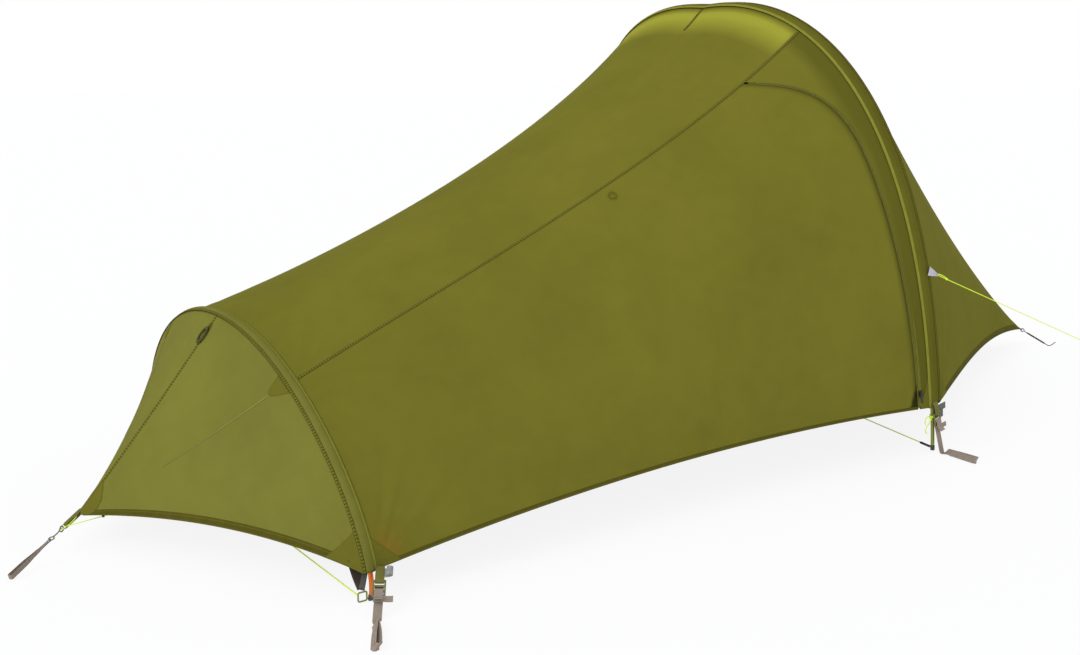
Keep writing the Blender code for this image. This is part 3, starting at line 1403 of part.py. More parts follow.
clear_scene()
build_fly()
build_sleeves()
build_poles()
build_zip()
build_zip_slider()
for corner_name, corner_axis, peg_ground in corners():
    build_corner(corner_name, corner_axis, peg_ground)
build_base()
build_nose()
build_tail()
build_guys()
build_fly_loops()
build_floor()
build_inner()
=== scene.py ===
# %% [markdown]
# An ultralight tent for one sleeper stands on two bent poles: a tall arch near the head and a low
# one near the foot. An olive coated cloth is stretched over them and pegged out at six places.
# The solid model is loaded first and stays as it is. The cells after it put cloth, seams, webbing,
# cords and metal fittings in its place, each with its own finish.

# %% Load the solid model
import json
from math import cos, pi, radians, sin, sqrt

import bmesh
import bpy
import numpy as np
from mathutils import Matrix, Vector

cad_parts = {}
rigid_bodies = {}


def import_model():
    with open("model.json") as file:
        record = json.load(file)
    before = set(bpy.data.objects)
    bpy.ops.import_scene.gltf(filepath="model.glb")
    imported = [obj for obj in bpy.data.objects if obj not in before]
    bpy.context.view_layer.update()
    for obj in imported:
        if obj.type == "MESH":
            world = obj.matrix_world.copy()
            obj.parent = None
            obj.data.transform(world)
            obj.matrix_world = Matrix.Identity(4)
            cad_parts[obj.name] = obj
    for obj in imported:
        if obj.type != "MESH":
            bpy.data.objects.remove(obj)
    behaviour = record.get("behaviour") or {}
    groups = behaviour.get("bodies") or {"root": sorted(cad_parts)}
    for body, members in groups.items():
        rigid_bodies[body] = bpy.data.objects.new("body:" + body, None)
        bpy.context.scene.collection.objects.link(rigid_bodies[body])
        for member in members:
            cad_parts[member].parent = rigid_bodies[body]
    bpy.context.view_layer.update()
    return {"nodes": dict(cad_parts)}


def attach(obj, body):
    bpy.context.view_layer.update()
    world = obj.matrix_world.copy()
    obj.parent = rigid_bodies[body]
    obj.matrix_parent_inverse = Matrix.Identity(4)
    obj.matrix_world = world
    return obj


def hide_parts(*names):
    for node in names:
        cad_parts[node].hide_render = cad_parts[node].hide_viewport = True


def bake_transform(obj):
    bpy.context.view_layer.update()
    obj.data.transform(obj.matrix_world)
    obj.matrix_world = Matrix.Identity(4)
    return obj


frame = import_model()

# %% [markdown]
# The camera stands low on the foot side and looks along the tent. Its place was worked out from
# the picture: the two pole arches give the directions, and the pole's thickness gives the scale.
# The light is a pale sky with one wide soft lamp on the foot side, so that the nose is a little
# brighter than the side, and the side brighter than the tail. The floor is white with a soft shadow.

# %% Camera and lamp
def add(name, data):
    obj = bpy.data.objects.new(name, data)
    bpy.context.scene.collection.objects.link(obj)
    return obj


camera = add("camera", bpy.data.cameras.new("camera"))
camera.location = (-1.948, -2.279, 0.887)
camera.rotation_euler = (radians(77.7), 0.0, radians(-34.9))
camera.data.lens = 41.53
camera.data.sensor_width = 36.0
bpy.context.scene.camera = camera
bpy.context.scene.view_settings.view_transform = "Standard"

lamp = add("soft_lamp", bpy.data.lights.new("soft_lamp", "SUN"))
lamp.rotation_euler = (radians(52), 0.0, radians(-72))
lamp.data.energy = 1.15
lamp.data.angle = radians(50)
print("camera at", tuple(round(c, 3) for c in camera.location))

# %% [markdown]
# Finishes are node materials. One small class wraps a socket, so that maths on a surface reads as
# plain sums, and one class holds a node tree with a single method that adds any node. Patterns
# follow each piece's own flat map, whose unit is the metre, so a weave has its real size.

# %% A small language for finishes
class Wire:
    """A socket that understands + - and *, also with a number before it."""

    def __init__(self, nodes, socket):
        self.nodes, self.socket = nodes, socket

    def maths(self, operation, *others):
        return self.nodes.maths(operation, self, *others)

    def __add__(self, other):
        return self.maths("ADD", other)

    def __sub__(self, other):
        return self.maths("SUBTRACT", other)

    def __mul__(self, other):
        return self.maths("MULTIPLY", other)

    def __rsub__(self, other):
        return self.nodes.maths("SUBTRACT", other, self)

    __radd__ = __add__
    __rmul__ = __mul__


class Nodes:
    """A node tree, with one method that adds any node."""

    def __init__(self, owner):
        owner.use_nodes = True
        self.tree = owner.node_tree

    def node(self, kind, settings=None, inputs=None, output=0):
        made = self.tree.nodes.new(kind)
        for name, value in (settings or {}).items():
            setattr(made, name, value)
        for key, value in (inputs or {}).items():
            self.feed(made.inputs[key], value)
        return Wire(self, made.outputs[output])

    def feed(self, socket, value):
        if isinstance(value, Wire):
            self.tree.links.new(value.socket, socket)
        else:
            socket.default_value = value

    def maths(self, operation, *values):
        return self.node("ShaderNodeMath", {"operation": operation}, dict(enumerate(values)))


class Finish(Nodes):
    """One material. The shader's plain values are set at once; patterns are linked afterwards."""

    def __init__(self, name, colour, roughness, **plain):
        self.material = bpy.data.materials.new(name)
        super().__init__(self.material)
        self.shader = self.tree.nodes["Principled BSDF"]
        self.shader.inputs["Base Color"].default_value = (*colour, 1.0)
        self.shader.inputs["Roughness"].default_value = roughness
        for socket, value in plain.items():
            self.shader.inputs[socket.replace("_", " ")].default_value = value

    def map(self):
        """Along and across the piece, in metres."""
        place = self.node("ShaderNodeUVMap", {"uv_map": "cut"})
        return [self.node("ShaderNodeSeparateXYZ", {}, {0: place}, output=axis) for axis in (0, 1)]

    def noise(self, size, detail=2.0, rough=0.5):
        """Clouds of a size in metres, fixed in the piece's own space."""
        place = self.node("ShaderNodeTexCoord", output="Object")
        return self.node("ShaderNodeTexNoise", {}, {"Vector": place, "Scale": 1.0 / size,
                                                    "Detail": detail, "Roughness": rough}, "Fac")

    def ramp(self, value, low, high):
        """0 below low, 1 above high, and a straight slope between them."""
        return self.node("ShaderNodeMapRange", {"clamp": True},
                         {"Value": value, "From Min": low, "From Max": high}, "Result")

    def tint(self, mask, colour, other):
        """The colour where the mask is 1, and the other where it is 0."""
        if not isinstance(other, Wire):
            other = (*other, 1.0)
        return self.node("ShaderNodeMix", {"data_type": "RGBA"},
                         {0: mask, 6: other, 7: (*colour, 1.0)}, 2)

    def paint(self, colour, roughness):
        self.feed(self.shader.inputs["Base Color"], colour)
        self.feed(self.shader.inputs["Roughness"], roughness)

    def emboss(self, height, depth):
        bump = self.node("ShaderNodeBump", {}, {"Height": height, "Distance": depth, "Strength": 1.0})
        self.feed(self.shader.inputs["Normal"], bump)

    def stripes(self, where, pitch):
        """Ridges across a direction, each pitch apart, with flanks steeper than a sine's."""
        return self.ramp(self.maths("SINE", where * (2 * pi / pitch)) * 2.5, -1.0, 1.0)


def shades(colour, *factors):
    """A colour made darker or lighter, once for each factor."""
    return [tuple(min(1.0, c * factor) for c in colour) for factor in factors]


print("a darker and a lighter grey:", shades((0.5, 0.5, 0.5), 0.8, 1.2))

# %% [markdown]
# Sky and floor are white wherever the camera, or a shiny surface, looks at them directly. The
# cloth itself is lit by a slightly darker, bluish sky, so that its olive keeps its depth. The
# floor's own white is mixed with a matt surface, which is what lets the tent's shadow show.

# %% Sky and floor
WHITE = (1.0, 1.0, 1.0, 1.0)


def mixed(nodes, share, first, second, target):
    """Where light comes straight from the camera, a mirror or glass, a share of the second."""
    rays = [nodes.node("ShaderNodeLightPath", output=kind)
            for kind in ("Is Camera Ray", "Is Glossy Ray", "Is Transmission Ray")]
    direct = nodes.maths("MAXIMUM", nodes.maths("MAXIMUM", *rays[:2]), rays[2]) * share
    choice = nodes.node("ShaderNodeMixShader", {}, {0: direct, 1: Wire(nodes, first.outputs[0]), 2: second})
    nodes.feed(nodes.tree.nodes[target].inputs["Surface"], choice)


world = bpy.data.worlds.new("pale_sky")
bpy.context.scene.world = world
sky = Nodes(world)
lit = sky.tree.nodes["Background"]
lit.inputs["Color"].default_value = (0.93, 0.96, 1.0, 1.0)
lit.inputs["Strength"].default_value = 0.78
mixed(sky, 1.0, lit, sky.node("ShaderNodeBackground", {}, {"Color": WHITE, "Strength": 1.0}), "World Output")

FLOOR_SIZE, JUST_UNDER, WHITE_SHARE = 60.0, -0.0005, 0.88
bpy.ops.mesh.primitive_plane_add(size=FLOOR_SIZE, location=(0.0, 0.0, JUST_UNDER))
floor = bpy.context.object
floor.name = "studio_floor"
matt = Finish("white_floor", (0.97, 0.97, 0.97), 0.9)
mixed(matt, WHITE_SHARE, matt.shader, matt.node("ShaderNodeEmission", {}, {"Color": WHITE}),
      "Material Output")
floor.data.materials.append(matt.material)
print("floor of", FLOOR_SIZE, "m")

# %% [markdown]
# The tent's lines are kept as named sizes, in metres. They are the sizes of the solid model, so
# that every seam, strap and cord lies where its solid lies. X runs from the foot end to the head
# end, Y to the far side and Z up, with the ground at zero.

# %% Sizes of the tent
NOSE_X, NOSE_HEIGHT = -1.400, 0.058
TAIL_X, TAIL_HEIGHT = 1.477, 0.050
END_WIDTH = 0.014
POLE_DIAMETER = 0.0087
POLE_TIP_DIAMETER = 0.0100
MAIN_SLEEVE_FOOT_EDGE, MAIN_SLEEVE_HEAD_EDGE = 0.0105, 0.0255
FOOT_SLEEVE_EDGE = 0.0110
SLEEVE_BORE = POLE_DIAMETER / 2 + 0.0009
SLEEVE_OUTSIDE = SLEEVE_BORE + 0.0008
ROOF_HALF_WIDTH = 0.300
MAIN_HEM_HEIGHT, FOOT_HEM_HEIGHT = 0.112, 0.055
ZIP_START_SETBACK, ZIP_CORNER_SETBACK, ZIP_FOOT_SETBACK = 0.1971, 0.0487, 0.0341
DOOR_FOLD_SHARE = 0.420
ZIP_COIL_DIAMETER, ZIP_COIL_GAP = 0.0026, 0.0008
WEBBING_WIDTH, WEBBING_THICKNESS = 0.0150, 0.0012
BUCKLE_WIDTH, BUCKLE_THICKNESS = 0.0220, 0.0036
BUCKLE_BAR, BUCKLE_SLOT, BUCKLE_DROP = 0.0036, 0.0056, 0.0130
CORD_DIAMETER, GUY_DIAMETER = 0.0024, 0.0020
CLOTH, INNER_CLOTH = 0.0007, 0.0010
THIN_CORD, HITCH_CORD = 0.0010, 0.0011
ABOVE_GROUND = 0.0002
FLOOR_CORNERS = ((-1.030, -0.400), (0.440, -0.200), (1.010, -0.110),
                 (1.010, 0.150), (0.440, 0.425), (-1.030, 0.400))
UP = np.array([0.0, 0.0, 1.0])
NEAR, FAR = np.array([1.0, 1.0, 1.0]), np.array([1.0, -1.0, 1.0])
SIDES = (("near", NEAR), ("far", FAR))
print("length over the cloth:", round(TAIL_X - NOSE_X, 3), "m")

# %% [markdown]
# All of the curved work stands on a few small rules: a blend between two points, a curve pulled
# by control points, a smooth route through given points, and a surface stretched over four edges.
# They take whole rows of numbers at once, which keeps a fine cloth quick to compute.

# %% Points, curves and surfaces
def point(x, y, z):
    return np.array([x, y, z], dtype=float)


def numbers(values):
    return np.asarray(values, dtype=float)


def unit(v):
    return v / np.maximum(np.linalg.norm(v, axis=-1, keepdims=True), 1e-12)


def mix(a, b, t):
    return a + (b - a) * numbers(t)[..., None]


def bezier(controls, t):
    points = [numbers(c) for c in controls]
    while len(points) > 1:
        points = [mix(a, b, t) for a, b in zip(points, points[1:])]
    return points[0]


def step_lengths(points, axis=0):
    """How far each point of a line or grid lies from the one before it."""
    return np.linalg.norm(np.diff(points, axis=axis), axis=-1)


def run_length(points):
    return np.concatenate([[0.0], np.cumsum(step_lengths(points))])


def resample(points, count):
    """The same line with its points at even distances."""
    walked = run_length(points)
    even = np.linspace(0.0, walked[-1], count)
    return np.stack([np.interp(even, walked, points[:, i]) for i in range(points.shape[1])], -1)


def curve_through(knots, per_step=8, closed=False):
    """A smooth curve that passes through the knots, with a few points for each step."""
    knots = [numbers(k) for k in knots]
    if closed:
        row = [knots[-1]] + knots + knots[:2]
    else:
        row = [2 * knots[0] - knots[1]] + knots + [2 * knots[-1] - knots[-2]]
    made = []
    for a, b, c, d in zip(row, row[1:], row[2:], row[3:]):
        for t in np.linspace(0, 1, per_step, endpoint=False):
            made.append(0.5 * (2 * b + (c - a) * t + (2 * a - 5 * b + 4 * c - d) * t * t
                               + (3 * b - a - 3 * c + d) * t ** 3))
    if not closed:
        made.append(row[-2])
    return np.array(made)


def smooth_route(knots, count):
    return resample(curve_through(knots, 24), count)


def coons(top, bottom, left, right, fade=1.0):
    """A surface over four edges; the bow of the side edges dies out towards its middle."""
    corner = top(0.0), top(1.0), bottom(0.0), bottom(1.0)

    def surface(u, v):
        u, v = np.broadcast_arrays(numbers(u), numbers(v))
        from_left = left(v) - mix(corner[0], corner[2], v)
        from_right = right(v) - mix(corner[1], corner[3], v)
        return (mix(top(u), bottom(u), v) + from_left * ((1 - u) ** fade)[..., None]
                + from_right * (u ** fade)[..., None])
    return surface


quarter = bezier(((1, 0), (1, 0.5523), (0.5523, 1), (0, 1)), np.linspace(0, 1, 50))
print("a quarter circle drawn by four points is", round(run_length(quarter)[-1], 4), "long")

# %% [markdown]
# A pole is straight in its bag and bends into an arch in the sleeve. Each arch here is two
# mirrored curves in a leaned plane. Distances are measured along the pole from its near foot.

# %% The two arches
class Arch:
    def __init__(self, foot_x, half_width, height, lean, splay, straightness, flatness):
        foot = np.array([-half_width, 0.0])
        leg = foot + straightness * height * np.array([-sin(splay), cos(splay)])
        crown = np.array([-flatness * half_width, height])
        half = bezier((foot, leg, crown, np.array([0.0, height])), np.linspace(0, 1, 241))
        flat = np.concatenate([half, (half * [-1, 1])[::-1][1:]])
        self.points = np.column_stack([foot_x - lean * flat[:, 1], flat])
        self.walked = run_length(self.points)
        self.length = self.walked[-1]
        self.headward = unit(point(1.0, 0.0, lean))

    def at(self, s):
        return np.stack([np.interp(s, self.walked, self.points[:, i]) for i in range(3)], -1)

    def along(self, s):
        s = numbers(s)
        return unit(self.at(np.minimum(s + 0.004, self.length)) - self.at(np.maximum(s - 0.004, 0.0)))

    def outward(self, s):
        return unit(np.cross(self.headward, self.along(s)))

    def beside(self, s, headward, outward=0.0):
        return self.at(s) + self.headward * headward + self.outward(s) * outward

    def where_height(self, z):
        half = len(self.points) // 2 + 1
        return float(np.interp(z, self.points[:half, 2], self.walked[:half]))

    def where_half_width(self, y):
        half = len(self.points) // 2 + 1
        widest = int(np.argmin(self.points[:half, 1]))
        return float(np.interp(-y, self.points[widest:half, 1], self.walked[widest:half]))


MAIN = Arch(0.363, 0.546, 1.000, 0.238, 0.119, 1.107, 0.112)
FOOT = Arch(-1.073, 0.530, 0.400, 0.078, 0.600, 0.285, 0.7245)
MAIN_HEM_S = MAIN.where_height(MAIN_HEM_HEIGHT)
FOOT_HEM_S = FOOT.where_height(FOOT_HEM_HEIGHT)
MAIN_SHOULDER_S = MAIN.where_half_width(ROOF_HALF_WIDTH)
FOOT_SHOULDER_S = FOOT.where_half_width(ROOF_HALF_WIDTH)
print("main pole", round(MAIN.length, 3), "m, foot pole", round(FOOT.length, 3), "m")

# %% [markdown]
# The cloth is cut in panels that meet on seams. The roof runs between the arches, a wall hangs on
# each side of it, and nose and tail are two panels each with a seam along the ridge. The edges
# below are the seams and hems; a panel is the surface stretched over four of them.

# %% Seams, hems and the zip line
def foot_edge(s):
    return FOOT.beside(s, FOOT_SLEEVE_EDGE)


def main_edge(s):
    return MAIN.beside(s, -MAIN_SLEEVE_FOOT_EDGE)


def bow(u):
    """0 at both ends and 1 in the middle, as a slack edge hangs."""
    u = numbers(u)
    return (4 * u * (1 - u))[..., None]


def roof_seam(u):
    low = foot_edge(FOOT_SHOULDER_S)
    high = main_edge(MAIN_SHOULDER_S)
    return bezier((low, mix(low, high, 0.30) + point(0, 0.073, -0.053),
                   mix(low, high, 0.75) + point(0, 0.041, -0.109), high), u)


def side_hem(u):
    return mix(foot_edge(FOOT_HEM_S), main_edge(MAIN_HEM_S), u) + point(0, 0.012, 0.032) * bow(u)


def foot_leg(v):
    return foot_edge(FOOT_SHOULDER_S + (FOOT_HEM_S - FOOT_SHOULDER_S) * v)


def main_leg(v):
    return main_edge(MAIN_SHOULDER_S + (MAIN_HEM_S - MAIN_SHOULDER_S) * v)


near_wall = coons(roof_seam, side_hem, foot_leg, main_leg, 1.8)
HEM_LENGTH = np.linalg.norm(side_hem(1.0) - side_hem(0.0))
ZIP_START = 1 - ZIP_START_SETBACK / np.linalg.norm(roof_seam(1.0) - roof_seam(0.0))
ZIP_CORNER = 1 - ZIP_CORNER_SETBACK / HEM_LENGTH
ZIP_FOOT = 1 - ZIP_FOOT_SETBACK / HEM_LENGTH
CORNER_SHARE, CORNER_DEPTH = 0.3, 0.33
DOOR_AXIS_TOP = roof_seam(ZIP_START)
DOOR_AXIS_FOOT = side_hem(DOOR_FOLD_SHARE)


def fold_line(v):
    return mix(DOOR_AXIS_TOP, DOOR_AXIS_FOOT, v)


def zip_share(t):
    """The zip in shares of the near wall: from the roof seam over a round corner, then down."""
    t = numbers(t)
    turn = ZIP_CORNER - ZIP_START
    corner = bezier(((ZIP_START, 0.0), (ZIP_START + 0.50 * turn, 0.10),
                     (ZIP_START + 0.95 * turn, 0.15), (ZIP_CORNER, CORNER_DEPTH)),
                    np.clip(t / CORNER_SHARE, 0, 1))
    share = np.clip((t - CORNER_SHARE) / (1 - CORNER_SHARE), 0, 1)
    straight = np.stack([ZIP_CORNER + (ZIP_FOOT - ZIP_CORNER) * share,
                         CORNER_DEPTH + (1 - CORNER_DEPTH) * share], -1)
    return np.where((t < CORNER_SHARE)[..., None], corner, straight)


def zip_line(t):
    place = zip_share(t)
    return near_wall(place[..., 0], place[..., 1])


def ridge(crown, tip, sag):
    return lambda u: mix(crown, tip, u) - UP * sag * bow(u)


def nose_panel():
    tip = point(NOSE_X, 0.0, NOSE_HEIGHT)

    def edge(s):
        return FOOT.beside(s, -FOOT_SLEEVE_EDGE)

    foot, end = edge(FOOT_HEM_S), tip + point(0.004, -END_WIDTH, 0.0)

    def hem(u):
        return mix(foot, end, u) + (UP * 0.021 + unit(point(1.0, 0.55, 0)) * 0.020) * bow(u)

    half = FOOT.length / 2
    return coons(ridge(edge(half), tip, 0.006), hem, lambda v: edge(half + (FOOT_HEM_S - half) * v),
                 lambda v: mix(tip, end, v), 1.6)


def tail_panel():
    tip = point(TAIL_X, 0.0, TAIL_HEIGHT)

    def edge(s):
        return MAIN.beside(s, MAIN_SLEEVE_HEAD_EDGE)

    foot, end = edge(MAIN_HEM_S), tip + point(-0.004, -END_WIDTH, 0.0)

    def hem(u):
        late_bow = bezier(((0.0,), (0.57,), (1.40,), (0.0,)), u)
        return mix(foot, end, u) + (UP * 0.034 + unit(point(-0.45, 0.9, 0)) * 0.030) * late_bow

    half = MAIN.length / 2
    return coons(ridge(edge(half), tip, 0.030), hem, lambda v: edge(half + (MAIN_HEM_S - half) * v),
                 lambda v: mix(tip, end, v), 1.2)


print("zip length", round(run_length(zip_line(np.linspace(0, 1, 200)))[-1], 3), "m")

# %% [markdown]
# The outer cloth is a thin nylon with a silicone coating. Close up it has a fine grid of thicker
# yarns, from further away it is a smooth olive with a soft sheen and faint cloudy differences.
# Masks ride on the cloth as attributes, and each paints light or shade into its colour: a paler
# band of painted light where sky light shines through from behind, a painted orange glow where a
# pole shows through, painted shade beside the zip and the tall arch's sleeve, and a painted dark
# shadow in the gap at the foot of the zip.

# %% Cloth finishes
YARN, STRONG_YARN, STRONG_YARN_PITCH, WEAVE_DEPTH = 0.00045, 0.00035, 0.0045, 0.00012


def weave(finish):
    """A plain weave with a stronger yarn at each pitch; returns its mask for the colour."""
    along, across = finish.map()
    strong = [finish.ramp(finish.maths("PINGPONG", way, STRONG_YARN_PITCH / 2), STRONG_YARN, 0.0)
              for way in (along, across)]
    grid = finish.maths("MAXIMUM", *strong)
    fine = finish.stripes(along, YARN) * finish.stripes(across, YARN)
    finish.emboss(grid * 0.6 + fine * 0.4, WEAVE_DEPTH)
    return grid


def cloth_finish(name, colour, roughness, strength, masks=()):
    finish = Finish(name, colour, roughness, Specular_IOR_Level=0.0006)
    grid = weave(finish)
    cloud = finish.noise(0.22, 3.0) * 0.75 + finish.noise(0.035, 2.0) * 0.25
    dark, light, yarn = shades(colour, 1 - strength, 1 + strength, 0.7)
    shade = finish.tint(finish.ramp(cloud, 0.32, 0.68), light, dark)
    shade = finish.tint(grid * 0.10, yarn, shade)
    for mask, tone in masks:
        amount = finish.node("ShaderNodeAttribute", {"attribute_name": mask}, output="Fac")
        shade = finish.tint(amount, tone, shade)
    finish.paint(shade, finish.ramp(cloud, 0.2, 0.8) * 0.12 + (roughness - 0.06))
    return finish.material


# The fly's masks are painted light and shade: a paler band for sky light, a pole glow, shade by zip and
# sleeve, and a shadow in the zip's foot gap.
fly_finish = cloth_finish("coated_nylon_olive", (0.174, 0.163, 0.0215), 0.50, 0.09,
                          (("painted_daylight", (0.35, 0.34, 0.040)), ("painted_pole_glow", (0.34, 0.13, 0.020)),
                           ("painted_shade", (0.098, 0.092, 0.012)), ("painted_gap_shadow", (0.034, 0.032, 0.008))))
# The nose cloth's masks paint a paler band of light and an orange pole glow into its colour.
nose_finish = cloth_finish("coated_nylon_nose", (0.192, 0.186, 0.034), 0.50, 0.09,
                           (("painted_daylight", (0.30, 0.29, 0.05)), ("painted_pole_glow", (0.36, 0.15, 0.020))))
sleeve_finish = cloth_finish("sleeve_nylon_olive", (0.135, 0.126, 0.0165), 0.55, 0.12)
foot_sleeve_finish = cloth_finish("foot_sleeve_olive", (0.185, 0.178, 0.034), 0.55, 0.12)
patch_finish = cloth_finish("corner_patch_olive", (0.156, 0.145, 0.020), 0.52, 0.08)
inner_finish = cloth_finish("inner_cloth_brown", (0.125, 0.098, 0.075), 0.75, 0.12)
ground_cloth = cloth_finish("floor_cloth_brown", (0.095, 0.080, 0.066), 0.45, 0.12)


def stitched_finish(name, colour, thread, lines, pitch=0.0042):
    """Folded cloth with rows of stitches at set distances across the band, in metres."""
    finish = Finish(name, colour, 0.58, Specular_IOR_Level=0.003)
    along, across = finish.map()
    dash = finish.ramp(finish.maths("PINGPONG", along, pitch / 2), pitch * 0.12, pitch * 0.22)
    rows = None
    for line in lines:
        row = finish.ramp(finish.maths("ABSOLUTE", across - line), 0.0007, 0.0003)
        rows = row if rows is None else finish.maths("MAXIMUM", rows, row)
    stitch = rows * dash
    pull = finish.stripes(along + across * 0.3, pitch * 2.3) * 0.35
    cloud = finish.noise(0.02)
    base = finish.tint(cloud, *shades(colour, 0.8, 1.15))
    finish.paint(finish.tint(stitch, thread, base), cloud * 0.1 + 0.52)
    finish.emboss(stitch + pull, 0.00035)
    return finish.material


seam_finish = stitched_finish("folded_seam_olive", (0.074, 0.067, 0.009), (0.30, 0.29, 0.05),
                              (0.0014, 0.0037), 0.0060)
hem_finish = stitched_finish("hem_binding_olive", (0.094, 0.084, 0.012), (0.20, 0.19, 0.04),
                             (0.0020, 0.0125))
nose_seam_finish = stitched_finish("nose_seam_olive", (0.215, 0.205, 0.050), (0.34, 0.33, 0.09), (0.0012,))
# the piping's light colour is a painted highlight along a raised fold
piping_highlight_finish = stitched_finish("piping_painted_highlight", (0.245, 0.238, 0.034), (0.34, 0.34, 0.06), (0.0010,))
tape_finish = stitched_finish("zip_tape_olive", (0.185, 0.173, 0.025), (0.12, 0.115, 0.03), (0.0020,))
print("finishes of cloth:", len(bpy.data.materials))

# %% [markdown]
# A sheet is a grid of points on its surface. A small class keeps the grid with its normals, and
# finds any line that runs at a set distance inside one of its edges, where a seam or a hem goes.

# %% A panel of cloth as a grid
CENTRE = point(-0.3, 0.0, 0.05)


def turned_to(grid, edge):
    """The grid with the named edge as its first row."""
    if edge in ("left", "right"):
        grid = grid.transpose(1, 0, 2)
    return grid[::-1] if edge in ("bottom", "right") else grid


def walked_in(grid):
    """How far each point lies from the first row, along its own column."""
    return np.concatenate([np.zeros((1, grid.shape[1])), np.cumsum(step_lengths(grid), axis=0)])


class Cloth:
    """A panel as rows (down) and columns (along) of points, with normals that point outwards."""

    def __init__(self, surface, across, down):
        self.u, self.v = np.meshgrid(np.asarray(across), np.asarray(down))
        self.points = surface(self.u, self.v)
        self.find_normals()

    def find_normals(self):
        along = np.gradient(self.points, axis=1)
        down = np.gradient(self.points, axis=0)
        found = unit(np.cross(along, down))
        away = self.points - CENTRE
        self.turned = float((found * away).sum()) < 0
        self.normals = -found if self.turned else found

    def push(self, height):
        self.points = self.points + self.normals * height[..., None]
        self.find_normals()

    def from_edge(self, edge, distance, lift=0.0):
        """A line at a distance in metres inside an edge, raised off the cloth."""
        grid = turned_to(self.points + self.normals * lift, edge)
        walked = walked_in(grid)
        return np.array([[np.interp(distance, walked[:, i], grid[:, i, k]) for k in range(3)]
                         for i in range(grid.shape[1])])

    def at(self, u, v, lift=0.0):
        """Points at shares of the grid's own rows and columns."""
        grid = self.points + self.normals * lift
        x = np.clip(np.asarray(u) * (grid.shape[1] - 1), 0, grid.shape[1] - 1.0001)
        y = np.clip(np.asarray(v) * (grid.shape[0] - 1), 0, grid.shape[0] - 1.0001)
        i, j = x.astype(int), y.astype(int)
        top = mix(grid[j, i], grid[j, i + 1], x - i)
        low = mix(grid[j + 1, i], grid[j + 1, i + 1], x - i)
        return mix(top, low, y - j)


def even(count):
    return np.linspace(0, 1, count + 1)


trial = Cloth(near_wall, even(4), even(4))
print("a trial panel has", trial.points.shape[:2], "points")

# %% [markdown]
# The grid becomes a mesh with a flat map in metres, as a cutter would lay it out. Modifiers are
# applied, and each piece is told which body it rides on and which solids it stands for.

# %% From grid to mesh
MERGE = 0.00001


def flat_map(points):
    """Each point's place on the average plane of the piece, in metres."""
    first = unit((points[:, -1] - points[:, 0]).sum(axis=0))
    down = (points[-1] - points[0]).sum(axis=0)
    second = unit(down - first * float(down @ first))
    return np.stack([points @ first, points @ second], -1)


def strip_map(points):
    """Distance along the strip and across it, in metres."""
    along = step_lengths(points, 1).mean(axis=0)
    across = step_lengths(points).mean(axis=1)
    u = np.concatenate([[0.0], np.cumsum(along)])
    v = np.concatenate([[0.0], np.cumsum(across)])
    return np.stack(np.meshgrid(u, v), -1)


def grid_faces(rows, columns):
    """The corners of each cell of a grid whose points are numbered row by row."""
    first = np.arange((rows - 1) * columns).reshape(rows - 1, columns)[:, :-1].ravel()
    return np.stack([first, first + 1, first + columns + 1, first + columns], 1)


def build_mesh(name, points, faces, uvs, finish):
    mesh = bpy.data.meshes.new(name)
    mesh.from_pydata(points.tolist(), [], [list(map(int, f)) for f in faces])
    layer = mesh.uv_layers.new(name="cut")
    corners = np.zeros(len(mesh.loops), dtype=np.int32)
    mesh.loops.foreach_get("vertex_index", corners)
    layer.data.foreach_set("uv", uvs[corners].astype(np.float32).ravel())
    mesh.materials.append(finish)
    mesh.shade_smooth()
    return add(name, mesh)


def apply_all(obj):
    """Applies a piece's modifiers in order, as the button in the modifier panel does."""
    bpy.ops.object.select_all(action="DESELECT")
    bpy.context.view_layer.objects.active = obj
    obj.select_set(True)
    for modifier in list(obj.modifiers):
        bpy.ops.object.modifier_apply(modifier=modifier.name)
    obj.select_set(False)


def settle(obj, body, slot, nodes=()):
    """The piece rides on its body and stands for its solids. The slot is not used."""
    if body:
        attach(obj, body)
    if nodes:
        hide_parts(*nodes)
    return obj


print("the trial panel's grid has", len(grid_faces(*trial.points.shape[:2])), "cells")

# %% [markdown]
# A sheet of cloth is such a mesh with a wall. How large its cut would be, which is its longest row
# by its longest column, and how much cloth it takes are printed.

# %% Sheets and the size of their cut
def grid_sheet(name, points, finish, thickness=CLOTH, turned=False, uvs=None, masks=None, keep=None):
    """A sheet with masks for its finish; keep says which cells of the grid it has."""
    faces = grid_faces(*points.shape[:2])
    if turned:
        faces = faces[:, ::-1]
    if keep is not None:
        faces = faces[keep.ravel()]
    uvs = flat_map(points) if uvs is None else uvs
    obj = build_mesh(name, points.reshape(-1, 3), faces, uvs.reshape(-1, 2), finish)
    for mask, values in (masks or {}).items():
        layer = obj.data.attributes.new(mask, "FLOAT", "POINT")
        layer.data.foreach_set("value", values.astype(np.float32).ravel())
    shape = bmesh.new()
    shape.from_mesh(obj.data)
    bmesh.ops.remove_doubles(shape, verts=shape.verts, dist=2 * MERGE)
    bmesh.ops.delete(shape, geom=[v for v in shape.verts if not v.link_faces], context="VERTS")
    shape.to_mesh(obj.data)
    shape.free()
    wall = obj.modifiers.new("cloth", "SOLIDIFY")
    wall.thickness = thickness
    wall.offset = 0.0
    apply_all(obj)
    return obj


def cloth_sheet(name, cloth, finish, body, nodes, masks=None, slot="fly_cloth", thickness=CLOTH):
    obj = grid_sheet(name, cloth.points, finish, thickness, cloth.turned, masks=masks)
    return settle(obj, body, slot, nodes)


